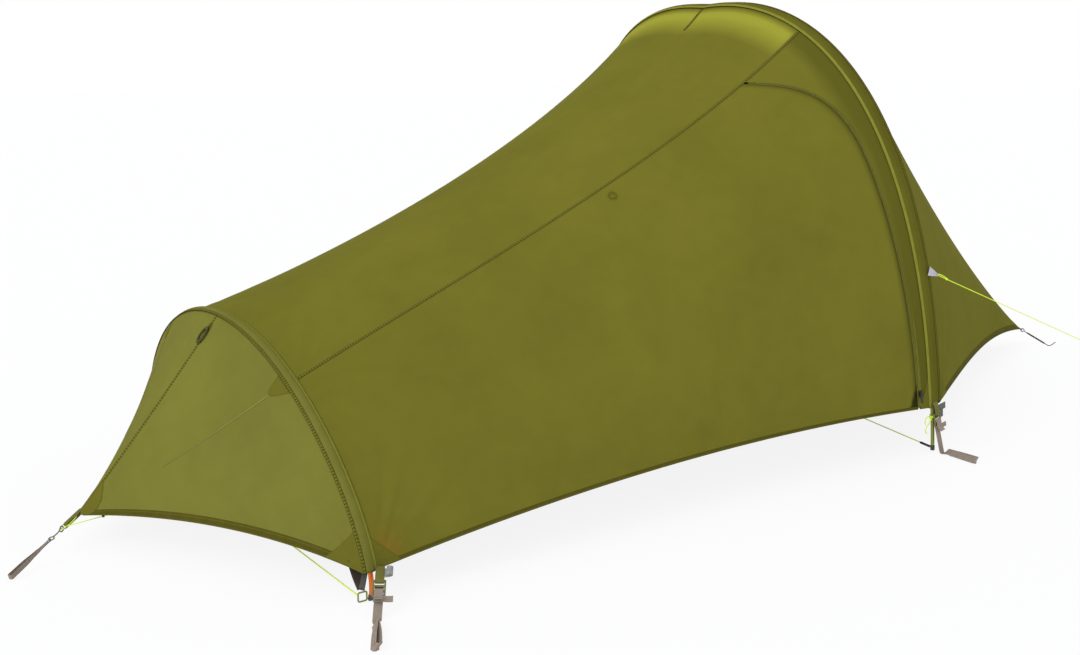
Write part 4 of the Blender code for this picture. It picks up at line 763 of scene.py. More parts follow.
def cut_size(cloth, kept=1):
    """Longest row, longest column and the area of a panel's cut, of its kept cells only."""
    across = step_lengths(cloth.points, 1).sum(axis=1).max()
    down = step_lengths(cloth.points).sum(axis=0).max()
    a = cloth.points[1:, :-1] - cloth.points[:-1, :-1]
    b = cloth.points[:-1, 1:] - cloth.points[:-1, :-1]
    c = cloth.points[1:, :-1] - cloth.points[1:, 1:]
    d = cloth.points[:-1, 1:] - cloth.points[1:, 1:]
    cells = (np.linalg.norm(np.cross(a, b), axis=-1) + np.linalg.norm(np.cross(c, d), axis=-1)) / 2
    return (float(across), float(down)), float((cells * kept).sum())


def declare_sheet(obj, cloth):
    """Prints the size of the cut. A slim curved cut fills less than a third of its
    rectangle, so it is given the width of a straighter cut with the same area."""
    (across, down), area = cut_size(cloth)
    if area < 0.31 * across * down:
        across = area / (0.32 * down)
    print(obj.name, "cut", round(across, 3), "by", round(down, 3), "area", round(area, 3))


print("the trial panel's area is", round(cut_size(trial)[1], 3), "m2")

# %% [markdown]
# Stretched cloth isn't perfectly smooth. Fine folds run out from each sewn or pegged corner and die
# away after a hand's width, and a seam draws short puckers out of the cloth beside it. They are
# added by moving the grid's points along their normals, and they fade to nothing at the edges,
# so that neighbouring panels still meet.

# %% Folds in stretched cloth
EDGE_FADE = 0.03


def edge_fade(cloth):
    """0 on the edges of a panel, and 1 from a finger's width inside them."""
    lines = cloth.points
    width = step_lengths(lines, 1).sum(axis=1)[:, None]
    height = step_lengths(lines).sum(axis=0)[None, :]
    columns = np.linspace(0, 1, lines.shape[1])[None, :]
    rows = np.linspace(0, 1, lines.shape[0])[:, None]
    side = np.minimum(columns, 1 - columns) * width
    end = np.minimum(rows, 1 - rows) * height
    return np.clip(side / EDGE_FADE, 0, 1) * np.clip(end / EDGE_FADE, 0, 1)


def corner_folds(cloth, corner, reach, height, count, phase):
    """Folds that fan out from a corner of the cloth."""
    away = cloth.points - corner
    far = np.linalg.norm(away, axis=-1)
    middle = cloth.points[cloth.points.shape[0] // 2, cloth.points.shape[1] // 2]
    first = unit(middle - corner)
    second = unit(np.cross(first, cloth.normals.mean(axis=(0, 1))))
    angle = np.arctan2(away @ second, away @ first)
    fold = np.sin(count * angle + phase) + 0.5 * np.sin(1.7 * count * angle + 2.1 + phase)
    return height * fold * far / (far + 0.35 * reach) * np.exp(-(far / reach) ** 1.6)


def seam_folds(cloth, edge, reach, height, wave, seed):
    """Short puckers beside a seam, of uneven size."""
    rng = np.random.default_rng(seed)
    grid = turned_to(cloth.points, edge)
    along = run_length(grid[0])
    beat = sum(np.sin(2 * pi * along / (wave * k) + rng.uniform(0, 6)) for k in (1.0, 1.37, 2.3)) / 3
    size = 0.5 + 0.5 * np.sin(2 * pi * along / (wave * 9) + rng.uniform(0, 6))
    field = height * (beat * size)[None, :] * np.exp(-(walked_in(grid) / reach) ** 1.5)
    if edge in ("bottom", "right"):
        field = field[::-1]
    return field.T if edge in ("left", "right") else field


def drape(cloth, corners, seams=()):
    field = np.zeros(cloth.points.shape[:2])
    for corner, reach, height, count in corners:
        field = field + corner_folds(cloth, corner, reach, height, count, phase=reach * 31)
    for index, (edge, reach, height, wave) in enumerate(seams):
        field = field + seam_folds(cloth, edge, reach, height, wave, 11 + index)
    cloth.push(field * edge_fade(cloth))


print("folds fade to", edge_fade(trial).min(), "at a panel's edge, from", edge_fade(trial).max())

# %% [markdown]
# The roof is one panel between the arches. Just under the tall arch the sky shines through it, so
# a paler band of painted light is put into its colour there, and it fades out after a hand's width.

# %% Roof
roof = Cloth(coons(roof_seam, lambda u: roof_seam(u) * FAR,
                   lambda v: foot_edge(FOOT_SHOULDER_S + (FOOT.length - 2 * FOOT_SHOULDER_S) * v),
                   lambda v: main_edge(MAIN_SHOULDER_S + (MAIN.length - 2 * MAIN_SHOULDER_S) * v), 1.5),
             even(170), even(110))
drape(roof, [(roof_seam(0.0), 0.16, 0.0016, 20), (roof_seam(1.0), 0.20, 0.0022, 20),
             (roof_seam(0.0) * FAR, 0.16, 0.0016, 20), (roof_seam(1.0) * FAR, 0.20, 0.0022, 20)],
      [("left", 0.05, 0.0009, 0.045), ("top", 0.03, 0.0007, 0.038), ("bottom", 0.03, 0.0007, 0.038)])
to_arch = np.linalg.norm(roof.points - roof.points[:, -1:, :], axis=-1)
side_share = np.abs(roof.points[..., 1]) / ROOF_HALF_WIDTH
# painted light: the roof is paler in a band just under the tall arch
painted_daylight = (np.clip((to_arch - 0.006) / 0.016, 0, 1) * np.clip((0.095 - to_arch) / 0.060, 0, 1)
            * np.clip((1.06 - side_share) / 0.12, 0, 1))
roof_sheet = cloth_sheet("roof_cloth", roof, fly_finish, "tent", ["fly_roof_panel"],
                         {"painted_daylight": painted_daylight * 0.95})
declare_sheet(roof_sheet, roof)

# %% [markdown]
# The near wall and the door are one cloth on the real tent: the zip cuts it free along the tall
# arch, and the door then folds back along a slanting line. One sheet therefore covers both solids.

# %% Near wall with its door
FOLD_MIDDLE = mix(DOOR_AXIS_TOP, DOOR_AXIS_FOOT, 0.5)
fold_axis = unit(DOOR_AXIS_FOOT - DOOR_AXIS_TOP)
to_zip = zip_line(0.6) - FOLD_MIDDLE
to_zip = unit(to_zip - fold_axis * float(to_zip @ fold_axis))
ZIP_SETBACK = ZIP_COIL_DIAMETER + ZIP_COIL_GAP / 2 + 0.0004


def swing(obj):
    """Moves the piece's place into its mesh."""
    tuple(FOLD_MIDDLE + to_zip * 0.04)
    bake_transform(obj)
    return obj


def glow_round(cloth, spot, reach, strength):
    """A mask of painted light that fades out round a spot, where a pole behind the cloth shows through."""
    return np.exp(-(np.linalg.norm(cloth.points - spot, axis=-1) / reach) ** 2) * strength


def near_side(s, t):
    """The near wall with its door: rows run from the foot sleeve to the zip."""
    end = zip_share(t)
    return near_wall(s * end[..., 0], t + (end[..., 1] - t) * s)


def hold_back(cloth, edge, distance):
    """Draws one side edge of a cloth back from the line that it would reach."""
    if edge == "right":
        rows = cloth.points[:, -1] - cloth.points[:, -2]
        share = np.linspace(0, 1, cloth.points.shape[1])
    else:
        rows = cloth.points[:, 0] - cloth.points[:, 1]
        share = np.linspace(1, 0, cloth.points.shape[1])
    share = np.clip((share - 0.8) / 0.2, 0, 1)
    cloth.points = cloth.points - unit(rows)[:, None, :] * distance * share[None, :, None]
    cloth.find_normals()


wall = Cloth(near_side, even(176), even(120))
drape(wall, [(roof_seam(0.0), 0.13, 0.0016, 16), (side_hem(0.0), 0.17, 0.0030, 17),
             (side_hem(0.0), 0.08, 0.0046, 19), (side_hem(ZIP_FOOT), 0.14, 0.0020, 14),
             (roof_seam(ZIP_START), 0.10, 0.0012, 14)],
      [("left", 0.05, 0.0010, 0.040), ("right", 0.035, 0.0011, 0.030), ("bottom", 0.03, 0.0008, 0.05)])
hold_back(wall, "right", ZIP_SETBACK)
to_edge = np.linalg.norm(wall.points - wall.points[:, -1:, :], axis=-1)
above = wall.points[..., 2] - wall.points[-1, -1, 2]
# painted light and shade: an orange pole glow near the foot, painted shade along the zip edge, and a painted
# dark shadow in the gap at the zip's foot
masks = {"painted_pole_glow": glow_round(wall, FOOT.at(FOOT_HEM_S) + point(0.030, 0, 0.030), 0.030, 0.35),
         "painted_shade": np.clip(1 - to_edge / 0.015, 0, 1) * 0.9,
         "painted_gap_shadow": np.clip((0.030 - to_edge - 0.46 * above) / 0.004, 0, 1)}
wall_sheet = cloth_sheet("near_side_cloth", wall, fly_finish, None,
                         ["fly_near_wall_panel", "fly_door_panel"], masks)
swing(wall_sheet)
declare_sheet(wall_sheet, wall)

# %% [markdown]
# The strip between zip and tall arch stays on the tent. The far wall mirrors the near one but has
# no door.

# %% The strip beside the zip and the far wall
def beside_zip(s, t):
    end = zip_share(t)
    return near_wall(end[..., 0] + (1 - end[..., 0]) * s, end[..., 1] + (t - end[..., 1]) * s)


strip = Cloth(beside_zip, even(36), even(120))
drape(strip, [(side_hem(1.0), 0.12, 0.0012, 12), (roof_seam(1.0), 0.12, 0.0014, 12)],
      [("right", 0.03, 0.0009, 0.026)])
hold_back(strip, "left", ZIP_SETBACK)
to_sleeve = np.linalg.norm(strip.points - strip.points[:, -1:, :], axis=-1)
# painted shade: the strip darkens towards the tall arch's sleeve
strip_sheet = cloth_sheet("door_surround_cloth", strip, fly_finish, "tent", ["fly_door_surround"],
                          {"painted_shade": np.clip(1.35 - to_sleeve / 0.045, 0, 0.72)})
declare_sheet(strip_sheet, strip)

far = Cloth(lambda u, v: near_wall(u, v) * FAR, even(170), even(110))
drape(far, [(roof_seam(0.0) * FAR, 0.13, 0.0016, 16), (side_hem(0.0) * FAR, 0.17, 0.0026, 17),
            (side_hem(1.0) * FAR, 0.15, 0.0022, 15), (roof_seam(1.0) * FAR, 0.16, 0.0018, 16)],
      [("left", 0.05, 0.0010, 0.040), ("right", 0.04, 0.0010, 0.034), ("bottom", 0.03, 0.0008, 0.05)])
far_sheet = cloth_sheet("far_wall_cloth", far, fly_finish, "tent", ["fly_far_wall_panel"])
declare_sheet(far_sheet, far)

# %% [markdown]
# Nose and tail are each two mirrored panels, joined on a ridge seam. Where the orange pole leaves its
# sleeve, a painted orange glow on the nose stands for the light that comes through the cloth.

# %% Nose and tail
panels = {}
for end, surface, shade in (("nose", nose_panel(), nose_finish), ("tail", tail_panel(), fly_finish)):
    for side, flip in SIDES:
        cloth = Cloth(lambda u, v, f=flip, s=surface: s(u, v) * f, even(110), even(110))
        low, tip, crown = cloth.points[-1, 0], cloth.points[0, -1], cloth.points[0, 0]
        drape(cloth, [(low, 0.17, 0.0024, 16), (low, 0.07, 0.0028, 20), (tip, 0.20, 0.0016, 14),
                      (crown, 0.12, 0.0010, 12)],
              [("left", 0.05, 0.0010, 0.036), ("top", 0.025, 0.0006, 0.030)])
        pole = FOOT.at(FOOT_HEM_S) * flip + point(-0.020, 0, 0.028)
        # painted light: an orange glow on the nose where the pole shows through
        masks = {"painted_pole_glow": glow_round(cloth, pole, 0.026, 0.55)} if end == "nose" else None
        made = cloth_sheet(end + "_cloth_" + side, cloth, shade, "tent",
                           ["fly_" + end + "_panel_" + side], masks)
        declare_sheet(made, cloth)
        panels[end + "_" + side] = cloth

# %% [markdown]
# Each edge of the cloth is folded and stitched. A band is a thin strip that lies on a panel along
# one of its edges. The hems get one, and the roof seams and ridges get one.

# %% Bands along the edges
def band(name, lines, finish, thickness=0.0006, facing=None):
    """A strip of cloth through rows of points, its flat map along and across it."""
    points = np.array(lines)
    found = np.cross(np.gradient(points, axis=1), np.gradient(points, axis=0))
    away = points - CENTRE if facing is None else np.broadcast_to(facing, points.shape)
    return grid_sheet(name, points, finish, thickness, float((found * away).sum()) < 0, strip_map(points))


def edge_band(name, cloth, edge, width, finish, body="tent"):
    """A band just inside an edge, whose own two edges lie closer to the cloth than its middle."""
    lines = [cloth.from_edge(edge, width * share, CLOTH * (1 if 0 < share < 1 else 0.55))
             for share in (0.0, 0.08, 0.5, 0.92, 1.0)]
    return settle(band(name, lines, finish), body, "fly_cloth")


SEAM_WIDTH, SIDE_HEM_WIDTH, END_HEM_WIDTH, RIDGE_WIDTH = 0.0052, 0.0075, 0.0170, 0.0040
edge_band("roof_seam_near", roof, "top", SEAM_WIDTH, seam_finish)
edge_band("roof_seam_far", roof, "bottom", SEAM_WIDTH, seam_finish)
swing(edge_band("hem_near_side", wall, "bottom", SIDE_HEM_WIDTH, hem_finish, None))
edge_band("hem_strip", strip, "bottom", SIDE_HEM_WIDTH, hem_finish)
edge_band("hem_far", far, "bottom", SIDE_HEM_WIDTH, hem_finish)
for side in ("near", "far"):
    for end in ("nose", "tail"):
        cloth = panels[end + "_" + side]
        edge_band("hem_" + end + "_" + side, cloth, "bottom", END_HEM_WIDTH, hem_finish)
        edge_band("ridge_seam_" + end + "_" + side, cloth, "top", RIDGE_WIDTH, seam_finish)


print("bands done; meshes:", len(bpy.data.meshes))

# %% [markdown]
# The corners get a second layer of cloth, because that is where the pegs pull. A short seam closes
# the crown, and a seam with a patch at its end crosses each side of the nose at shoulder height.

# %% Corner patches and short seams
def corner_patch(name, cloth, column, row, reach_u, reach_v, body="tent"):
    """A triangle of doubled cloth in a corner of a panel, with reaches as shares of the panel."""
    r, c = np.meshgrid(np.linspace(0.02, 1, 22), np.linspace(0, 1, 18))
    u = abs(column - reach_u * r * c)
    v = abs(row - reach_v * r * (1 - c))
    return settle(band(name, cloth.at(u, v, 0.0009), patch_finish, 0.0005), body, "fly_cloth")


swing(corner_patch("patch_wall_foot", wall, 0, 1, 0.036, 0.15, None))
corner_patch("patch_strip_foot", strip, 1, 1, 0.9, 0.085)
corner_patch("patch_far_foot", far, 0, 1, 0.034, 0.15)
corner_patch("patch_far_head", far, 1, 1, 0.055, 0.105)
for side in ("near", "far"):
    corner_patch("patch_nose_foot_" + side, panels["nose_" + side], 0, 1, 0.14, 0.105)
    corner_patch("patch_nose_tip_" + side, panels["nose_" + side], 1, 0, 0.17, 1.0)
    corner_patch("patch_tail_foot_" + side, panels["tail_" + side], 0, 1, 0.075, 0.075)
    corner_patch("patch_tail_tip_" + side, panels["tail_" + side], 1, 0, 0.055, 1.0)
u = np.linspace(0.938, 0.998, 30)
lines = [roof.at(u, np.full_like(u, 0.5 + w), 0.0008) for w in (-0.006, -0.002, 0.002, 0.006)]
settle(band("crown_seam", lines, seam_finish, 0.0005), "tent", "fly_cloth")
half_foot = FOOT.length / 2
shoulder_v = (half_foot - FOOT_SHOULDER_S) / (half_foot - FOOT_HEM_S)
for side in ("near", "far"):
    cloth = panels["nose_" + side]
    u = np.linspace(0.0, 0.60, 60)
    lines = [cloth.at(u, shoulder_v + w + 0.02 * u, 0.0007) for w in (-0.0030, 0.0, 0.0030)]
    settle(band("nose_side_seam_" + side, lines, nose_seam_finish, 0.0004), "tent", "fly_cloth")
    r, c = np.meshgrid(np.linspace(0, 1, 16), np.linspace(-1, 1, 13))
    points = cloth.at(0.004 + 0.075 * r * (1 - 0.35 * c * c),
                      shoulder_v + 0.036 * c * (1 - 0.45 * r), 0.0009)
    settle(band("nose_side_patch_" + side, points, patch_finish, 0.0004), "tent", "fly_cloth")
print("patches done; meshes:", len(bpy.data.meshes))

# %% [markdown]
# The poles run in sleeves sewn onto the fly. A sleeve is a flat tube of cloth: it stands up over
# the pole and lies down to both edges, where it's stitched on. The tall arch has a wide sleeve, the
# low arch a narrow one, and along each runs a raised fold whose light colour is a painted highlight.

# %% Pole sleeves
def sleeve(name, arch, low, high, start, node, pole_reach, finish):
    stations = np.linspace(start, arch.length - start, 300)
    across = np.concatenate([np.linspace(low, high, 19), np.linspace(high, low, 19)[1:]])
    side = np.concatenate([np.ones(19), -np.ones(18)])
    edge = np.where(across < 0, low, high)
    broad = np.sqrt(np.clip(1 - (across / edge) ** 2, 0, 1))
    hump = np.sqrt(np.clip(1 - (across / pole_reach) ** 2, 0, 1))
    height = side * SLEEVE_OUTSIDE * (0.62 * hump + 0.38 * broad)
    s, a = np.meshgrid(stations, across)
    lift = np.meshgrid(stations, height)[1]
    beat = np.sin(2 * pi * s / 0.023 + 3 * np.sin(s / 0.11)) + 0.6 * np.sin(2 * pi * s / 0.041 + 1.3)
    slack = np.abs(a) / max(-low, high)
    lift = lift + 0.00035 * beat * slack * (1 - slack ** 6) * np.sign(lift)
    points = arch.at(s) + arch.headward * a[..., None] + arch.outward(s) * lift[..., None]
    along = stations - stations[0]
    uvs = np.stack(np.meshgrid(along, np.abs(across - low)), -1)
    obj = grid_sheet(name, points, finish, 0.0008, False, uvs)
    return settle(obj, "tent", "sleeve_cloth", [node])


def along_arch(name, arch, start, edges, finish, lift):
    """A band that follows a sleeve: pairs of distance beside the pole and height over it."""
    stations = np.linspace(start, arch.length - start, 260)
    lines = [arch.at(stations) + arch.headward * a + arch.outward(stations) * (h + lift) for a, h in edges]
    facing = arch.outward(stations)[None, :, :]
    return settle(band(name, lines, finish, 0.0007, facing), "tent", "sleeve_cloth")


sleeve("main_sleeve_cloth", MAIN, -MAIN_SLEEVE_FOOT_EDGE, MAIN_SLEEVE_HEAD_EDGE, MAIN_HEM_S,
       "main_arch_sleeve", 0.0100, sleeve_finish)
sleeve("foot_sleeve_cloth", FOOT, -FOOT_SLEEVE_EDGE, FOOT_SLEEVE_EDGE, FOOT_HEM_S,
       "foot_arch_sleeve", 0.0090, foot_sleeve_finish)
for name, arch, start, lift, finish, edges in (
        ("main_sleeve_piping", MAIN, MAIN_HEM_S, 0.0008, piping_highlight_finish,
         ((-0.0135, 0.0006), (-0.0120, 0.0018), (-0.0100, 0.0030), (-0.0082, 0.0040))),
        ("main_sleeve_seam", MAIN, MAIN_HEM_S, 0.0007, seam_finish,
         ((0.0205, 0.0018), (0.0235, 0.0012), (0.0275, 0.0004))),
        ("foot_sleeve_piping", FOOT, FOOT_HEM_S, 0.0008, piping_highlight_finish,
         ((0.0080, 0.0030), (0.0100, 0.0020), (0.0125, 0.0006))),
        ("foot_sleeve_seam", FOOT, FOOT_HEM_S, 0.0008, seam_finish,
         ((-0.0130, 0.0006), (-0.0105, 0.0018), (-0.0085, 0.0030)))):
    along_arch(name, arch, start, edges, finish, lift)
print("sleeves done")

# %% [markdown]
# Tubes, wires and cords share one helper. It carries a circle along a path and keeps its flat map:
# distance along the path, and distance round it. Its ends are closed, so that each is a real solid.

# %% Helper for cords, wires and tubes
def frames_along(path, closed):
    """Two directions across a path at each of its points, carried along without a twist."""
    if closed:
        ahead = np.roll(path, -1, axis=0) - np.roll(path, 1, axis=0)
    else:
        ahead = np.gradient(path, axis=0)
    ahead = unit(ahead)
    carried = point(0.3, 0.2, 1.0)
    sides = []
    for step in ahead:
        carried = unit(carried - step * float(carried @ step))
        sides.append(carried)
    return np.array(sides), np.cross(ahead, np.array(sides))


def close_up(obj):
    """Joins the doubled rows of a rolled-up grid, closes its ends and turns its faces outwards."""
    shape = bmesh.new()
    shape.from_mesh(obj.data)
    bmesh.ops.remove_doubles(shape, verts=shape.verts, dist=MERGE)
    open_edges = [e for e in shape.edges if e.is_boundary]
    if open_edges:
        bmesh.ops.holes_fill(shape, edges=open_edges, sides=0)
    bmesh.ops.recalc_face_normals(shape, faces=shape.faces)
    shape.to_mesh(obj.data)
    shape.free()
    obj.data.shade_smooth()
    obj.data.set_sharp_from_angle(angle=radians(48))


def rolled(name, rings, uvs, finish):
    """Rings of points as a closed tube; each ring repeats its first point at its end."""
    obj = build_mesh(name, rings.reshape(-1, 3), grid_faces(*rings.shape[:2]), uvs.reshape(-1, 2), finish)
    close_up(obj)
    return obj


def round_tube(name, path, side, up, radius, along, sides, finish, lowest=-1.0):
    """A circle at each point of a path, in the plane of two directions across it."""
    turn = np.linspace(0, 2 * pi, sides + 1)
    angle = np.append(turn[:-1], 0.0)
    ring = side[:, None] * np.cos(angle)[None, :, None] + up[:, None] * np.sin(angle)[None, :, None]
    rings = path[:, None] + ring * radius[:, None, None]
    rings[..., 2] = np.maximum(rings[..., 2], lowest)
    v = turn[None, :] * radius[:, None]
    u = np.broadcast_to(along[:, None], v.shape)
    return rolled(name, rings, np.stack([u, v], -1), finish)


def tube(name, path, radius, finish, sides=12, closed=False):
    path = np.array(path, dtype=float)
    radius = np.broadcast_to(numbers(radius), len(path))
    side, up = frames_along(path, closed)
    if closed:
        path, side, up = (np.concatenate([x, x[:1]]) for x in (path, side, up))
        radius = np.append(radius, radius[0])
    return round_tube(name, path, side, up, radius, run_length(path), sides, finish)


def strap(name, path, sides, width, thickness, finish, closed=False, body="tent", slot=None, nodes=()):
    """A woven band along a path. Sides says which way its width lies, at each point or at all."""
    path = np.array(path, dtype=float)
    sides = np.broadcast_to(numbers(sides), path.shape).copy()
    for i in range(1, len(sides)):
        if sides[i] @ sides[i - 1] < 0:
            sides[i] = -sides[i]
    widths = np.broadcast_to(numbers(width), len(path))
    path, sides = curve_through(path, 4, closed), unit(curve_through(sides, 4, closed))
    widths = curve_through(widths[:, None], 4, closed)[:, 0]
    if closed:
        ahead = unit(np.roll(path, -1, axis=0) - np.roll(path, 1, axis=0))
        if sides[0] @ sides[-1] < 0:
            sides[-1] = -sides[-1]
    else:
        ahead = unit(np.gradient(path, axis=0))
    sides = unit(sides - ahead * (sides * ahead).sum(-1, keepdims=True))
    face = np.cross(ahead, sides)
    if closed:
        path, sides, face = (np.concatenate([x, x[:1]]) for x in (path, sides, face))
        widths = np.append(widths, widths[0])
    half = np.array([(1, 0), (0.93, 1), (0.4, 1), (0, 1), (-0.4, 1), (-0.93, 1)])
    section = np.concatenate([half, -half, half[:1]])
    a = section[None, :, 0] * (widths / 2)[:, None]
    b = section[None, :, 1] * (thickness / 2)
    rings = path[:, None] + sides[:, None] * a[..., None] + face[:, None] * b[..., None]
    u = np.broadcast_to(run_length(path)[:, None], a.shape)
    obj = rolled(name, rings, np.stack([u, a + widths.max() / 2], -1), finish)
    return settle(obj, body, slot, nodes)


def knot_path(centre, size, along):
    """The line of a small tight knot, with its long side along the cord."""
    t = np.linspace(0, 2 * pi, 73)[:-1]
    shape = np.stack([np.sin(t) + 2 * np.sin(2 * t), np.cos(t) - 2 * np.cos(2 * t),
                      -1.6 * np.sin(3 * t)], -1)
    along = unit(numbers(along))
    side = unit(np.cross(along, point(0.12, 0.21, 1.0)))
    return centre + (shape @ np.array([side, np.cross(along, side), along])) * size / 6


print("a knot has", len(knot_path(CENTRE, 0.004, UP)), "points")

# %% [markdown]
# Webbing is woven with ribs that run across it and a firm edge. A braided cord shows two sets of
# strands that wind round it in opposite directions. Both patterns are waves on the flat map.

# %% Finishes of webbing and cord
def webbing_finish(name, colour, rib=0.0013, width=WEBBING_WIDTH, roughness=0.82):
    finish = Finish(name, colour, roughness, Specular_IOR_Level=0.2)
    along, across = finish.map()
    chevron = finish.maths("PINGPONG", across, width / 4)
    ribs = finish.stripes(along + chevron, rib)
    yarns = finish.stripes(across, 0.0009)
    height = ribs * 0.7 + yarns * 0.3
    cloud = finish.noise(0.012, 3.0)
    light, dark = shades(colour, 1.2, 0.7)
    shade = finish.tint(cloud * 0.35, dark, finish.tint(height, light, dark))
    finish.paint(shade, cloud * 0.15 + (roughness - 0.08))
    finish.emboss(height, 0.0003)
    return finish.material


def braid_finish(name, colour, diameter, shine, glow=0.0):
    """Glow is painted light, an emission in the cord's own colour; it stands for a fluorescent dye that
    turns unseen light into its own colour.
    """
    finish = Finish(name, colour, shine, Specular_IOR_Level=0.2, Emission_Strength=glow,
                    Emission_Color=(*colour, 1.0))
    along, across = finish.map()
    turn = pi * diameter
    one = finish.stripes(along + across, turn / 4)
    other = finish.stripes(along - across, turn / 4)
    strands = finish.maths("MAXIMUM", one, other)
    finish.paint(finish.tint(strands, *shades(colour, 1.12, 0.74)), shine + 0.1 * (1 - strands))
    finish.emboss(strands, 0.00022)
    return finish.material


olive_webbing = webbing_finish("webbing_olive_woven", (0.205, 0.195, 0.045))
brown_webbing = webbing_finish("webbing_brown_woven", (0.400, 0.318, 0.258))
grey_webbing = webbing_finish("webbing_grey_woven", (0.20, 0.205, 0.185), 0.0011, 0.010)
narrow_brown = webbing_finish("narrow_brown_woven", (0.400, 0.318, 0.258), 0.0011, 0.010)
white_tape = webbing_finish("white_tape_woven", (0.70, 0.68, 0.72), 0.0009, 0.018, 0.75)
label_tape = webbing_finish("plain_label_grey", (0.42, 0.42, 0.40), 0.0007, 0.020, 0.7)
# the lime cord glows with painted light from its emission
lime_braid = braid_finish("lime_braid", (0.600, 0.780, 0.050), CORD_DIAMETER, 0.6, 0.30)
dark_braid = braid_finish("dark_braid", (0.022, 0.022, 0.020), 0.003, 0.75)
loop_braid = braid_finish("loop_braid_dark_olive", (0.080, 0.076, 0.020), 0.0042, 0.75)
ring_braid = braid_finish("ring_braid_olive", (0.30, 0.31, 0.06), 0.003, 0.65)
sleeve_rubber = braid_finish("cord_cover_grey", (0.055, 0.056, 0.050), 0.0056, 0.7)
print("finishes:", len(bpy.data.materials))

# %% [markdown]
# The pole tubes are anodised: metal under a thin coloured skin. Wires and small fittings are plain
# or darkened metal, and the buckles and the zip's coil are moulded plastic with a fine grain.

# %% Finishes of metal and plastic
def metal_finish(name, colour, roughness, grain=0.004, metallic=1.0, coat=0.0):
    """Drawn or anodised metal: small scratches and soft clouds in its shine."""
    finish = Finish(name, colour, roughness, Metallic=metallic, Coat_Weight=coat)
    scratch = finish.noise(grain, 6.0, rough=0.75)
    cloud = finish.noise(0.05, 2.0)
    finish.paint(finish.tint(cloud * 0.5, *shades(colour, 0.75, 1.0)), scratch * 0.18 + (roughness - 0.07))
    finish.emboss(scratch, 0.00005)
    return finish.material


def moulded_finish(name, colour, roughness):
    finish = Finish(name, colour, roughness, Specular_IOR_Level=0.5)
    grain = finish.noise(0.0007, 3.0)
    worn = finish.noise(0.009, 4.0)
    pale = finish.ramp(worn, 0.5, 0.75) * 0.4
    finish.paint(finish.tint(pale, *shades(colour, 1.5, 1.0)), grain * 0.15 + (roughness - 0.05))
    finish.emboss(grain, 0.00006)
    return finish.material


green_tube = metal_finish("anodised_green", (0.260, 0.290, 0.040), 0.34, 0.006, 0.60, 0.15)
orange_tube = metal_finish("anodised_orange", (0.720, 0.160, 0.015), 0.34, 0.006, 0.70, 0.15)
steel_wire = metal_finish("steel_wire", (0.17, 0.17, 0.17), 0.34)
dark_wire = metal_finish("dark_wire", (0.045, 0.045, 0.045), 0.42, 0.003, 0.9)
tip_metal = metal_finish("tip_alloy", (0.085, 0.088, 0.075), 0.42)
slider_metal = metal_finish("slider_metal", (0.060, 0.060, 0.050), 0.42, 0.002, 0.8)
buckle_plastic = moulded_finish("buckle_plastic_olive", (0.150, 0.145, 0.040), 0.42)
shock_cord_finish = moulded_finish("shock_cord_black", (0.025, 0.025, 0.023), 0.75)
coil_plastic = moulded_finish("zip_coil_olive", (0.235, 0.220, 0.032), 0.6)
print("finishes:", len(bpy.data.materials))

# %% [markdown]
# Each corner of the fly is pulled down to its peg by a strap through a ladder-lock buckle. A line
# from the sleeve's lower end to the peg carries all of it. The buckle's first bar is its hinge,
# so buckle and peg strap swing together on that bar, while the upper strap stays on the fly.

# %% Lines that carry the straps
class Line:
    """A tight line with a hinge: distances run down it, sideways, and off its outer face."""

    def __init__(self, hinge, down, out):
        self.hinge, self.down, self.out = hinge, unit(down), unit(out)
        self.level = unit(np.cross(UP, out))
        self.across = unit(self.level - self.down * float(self.level @ self.down))
        self.face = np.cross(self.down, self.across)

    def place(self, along, off=0.0, sideways=0.0):
        return self.hinge + self.down * along + self.face * off + self.across * sideways

    def turn(self, along, radius, start, end):
        """A bend round a bar that lies across the line."""
        angles = np.linspace(start, end, 9)
        return [self.place(along + radius * sin(a), radius * cos(a)) for a in angles]


def corner_line(arch, hem_s, reach, angle, flip, headward=0.0):
    """From the sleeve's lower end to the peg; headward moves the strap beside the pole."""
    out = point(-sin(angle), -cos(angle), 0.0)
    start = arch.at(hem_s) + arch.outward(hem_s) * (SLEEVE_OUTSIDE + 0.004) - UP * 0.002
    ground = arch.at(0.0) + out * reach
    ground[2] = WEBBING_THICKNESS / 2 + ABOVE_GROUND
    down = unit(ground - start)
    line = Line((start + down * BUCKLE_DROP) * flip, down * flip, out * flip)
    moved = line.across * headward * np.sign(line.across[0])
    line.hinge = line.hinge + moved
    return line, ground * flip + moved * point(1, 1, 0)


def buckle_lines():
    lines = [-BUCKLE_BAR / 2]
    for _ in range(3):
        lines += [lines[-1] + BUCKLE_BAR, lines[-1] + BUCKLE_BAR + BUCKLE_SLOT]
    return lines + [lines[-1] + BUCKLE_BAR]


BAR_TURN = sqrt(BUCKLE_BAR ** 2 + BUCKLE_THICKNESS ** 2) / 2 + 0.0004 + WEBBING_THICKNESS / 2
PEG_LENGTH, PEG_HALF = 0.074, 0.0046
corner_lines = {"near_foot": corner_line(FOOT, FOOT_HEM_S, 0.094, radians(28), NEAR, 0.0115),
                "near_head": corner_line(MAIN, MAIN_HEM_S, 0.026, 0.0, NEAR),
                "far_foot": corner_line(FOOT, FOOT_HEM_S, 0.094, radians(-15), FAR, 0.0115),
                "far_head": corner_line(MAIN, MAIN_HEM_S, 0.026, 0.0, FAR)}
print("buckle rungs at", [round(x * 1000, 1) for x in buckle_lines()], "mm")

# %% [markdown]
# Hard pieces are modelled as by hand: a plain body is cut, loses some faces, is pulled up into a
# solid and gets rounded edges. These are the steps that come back, and the one that lays a copy of
# a finished piece in its place.

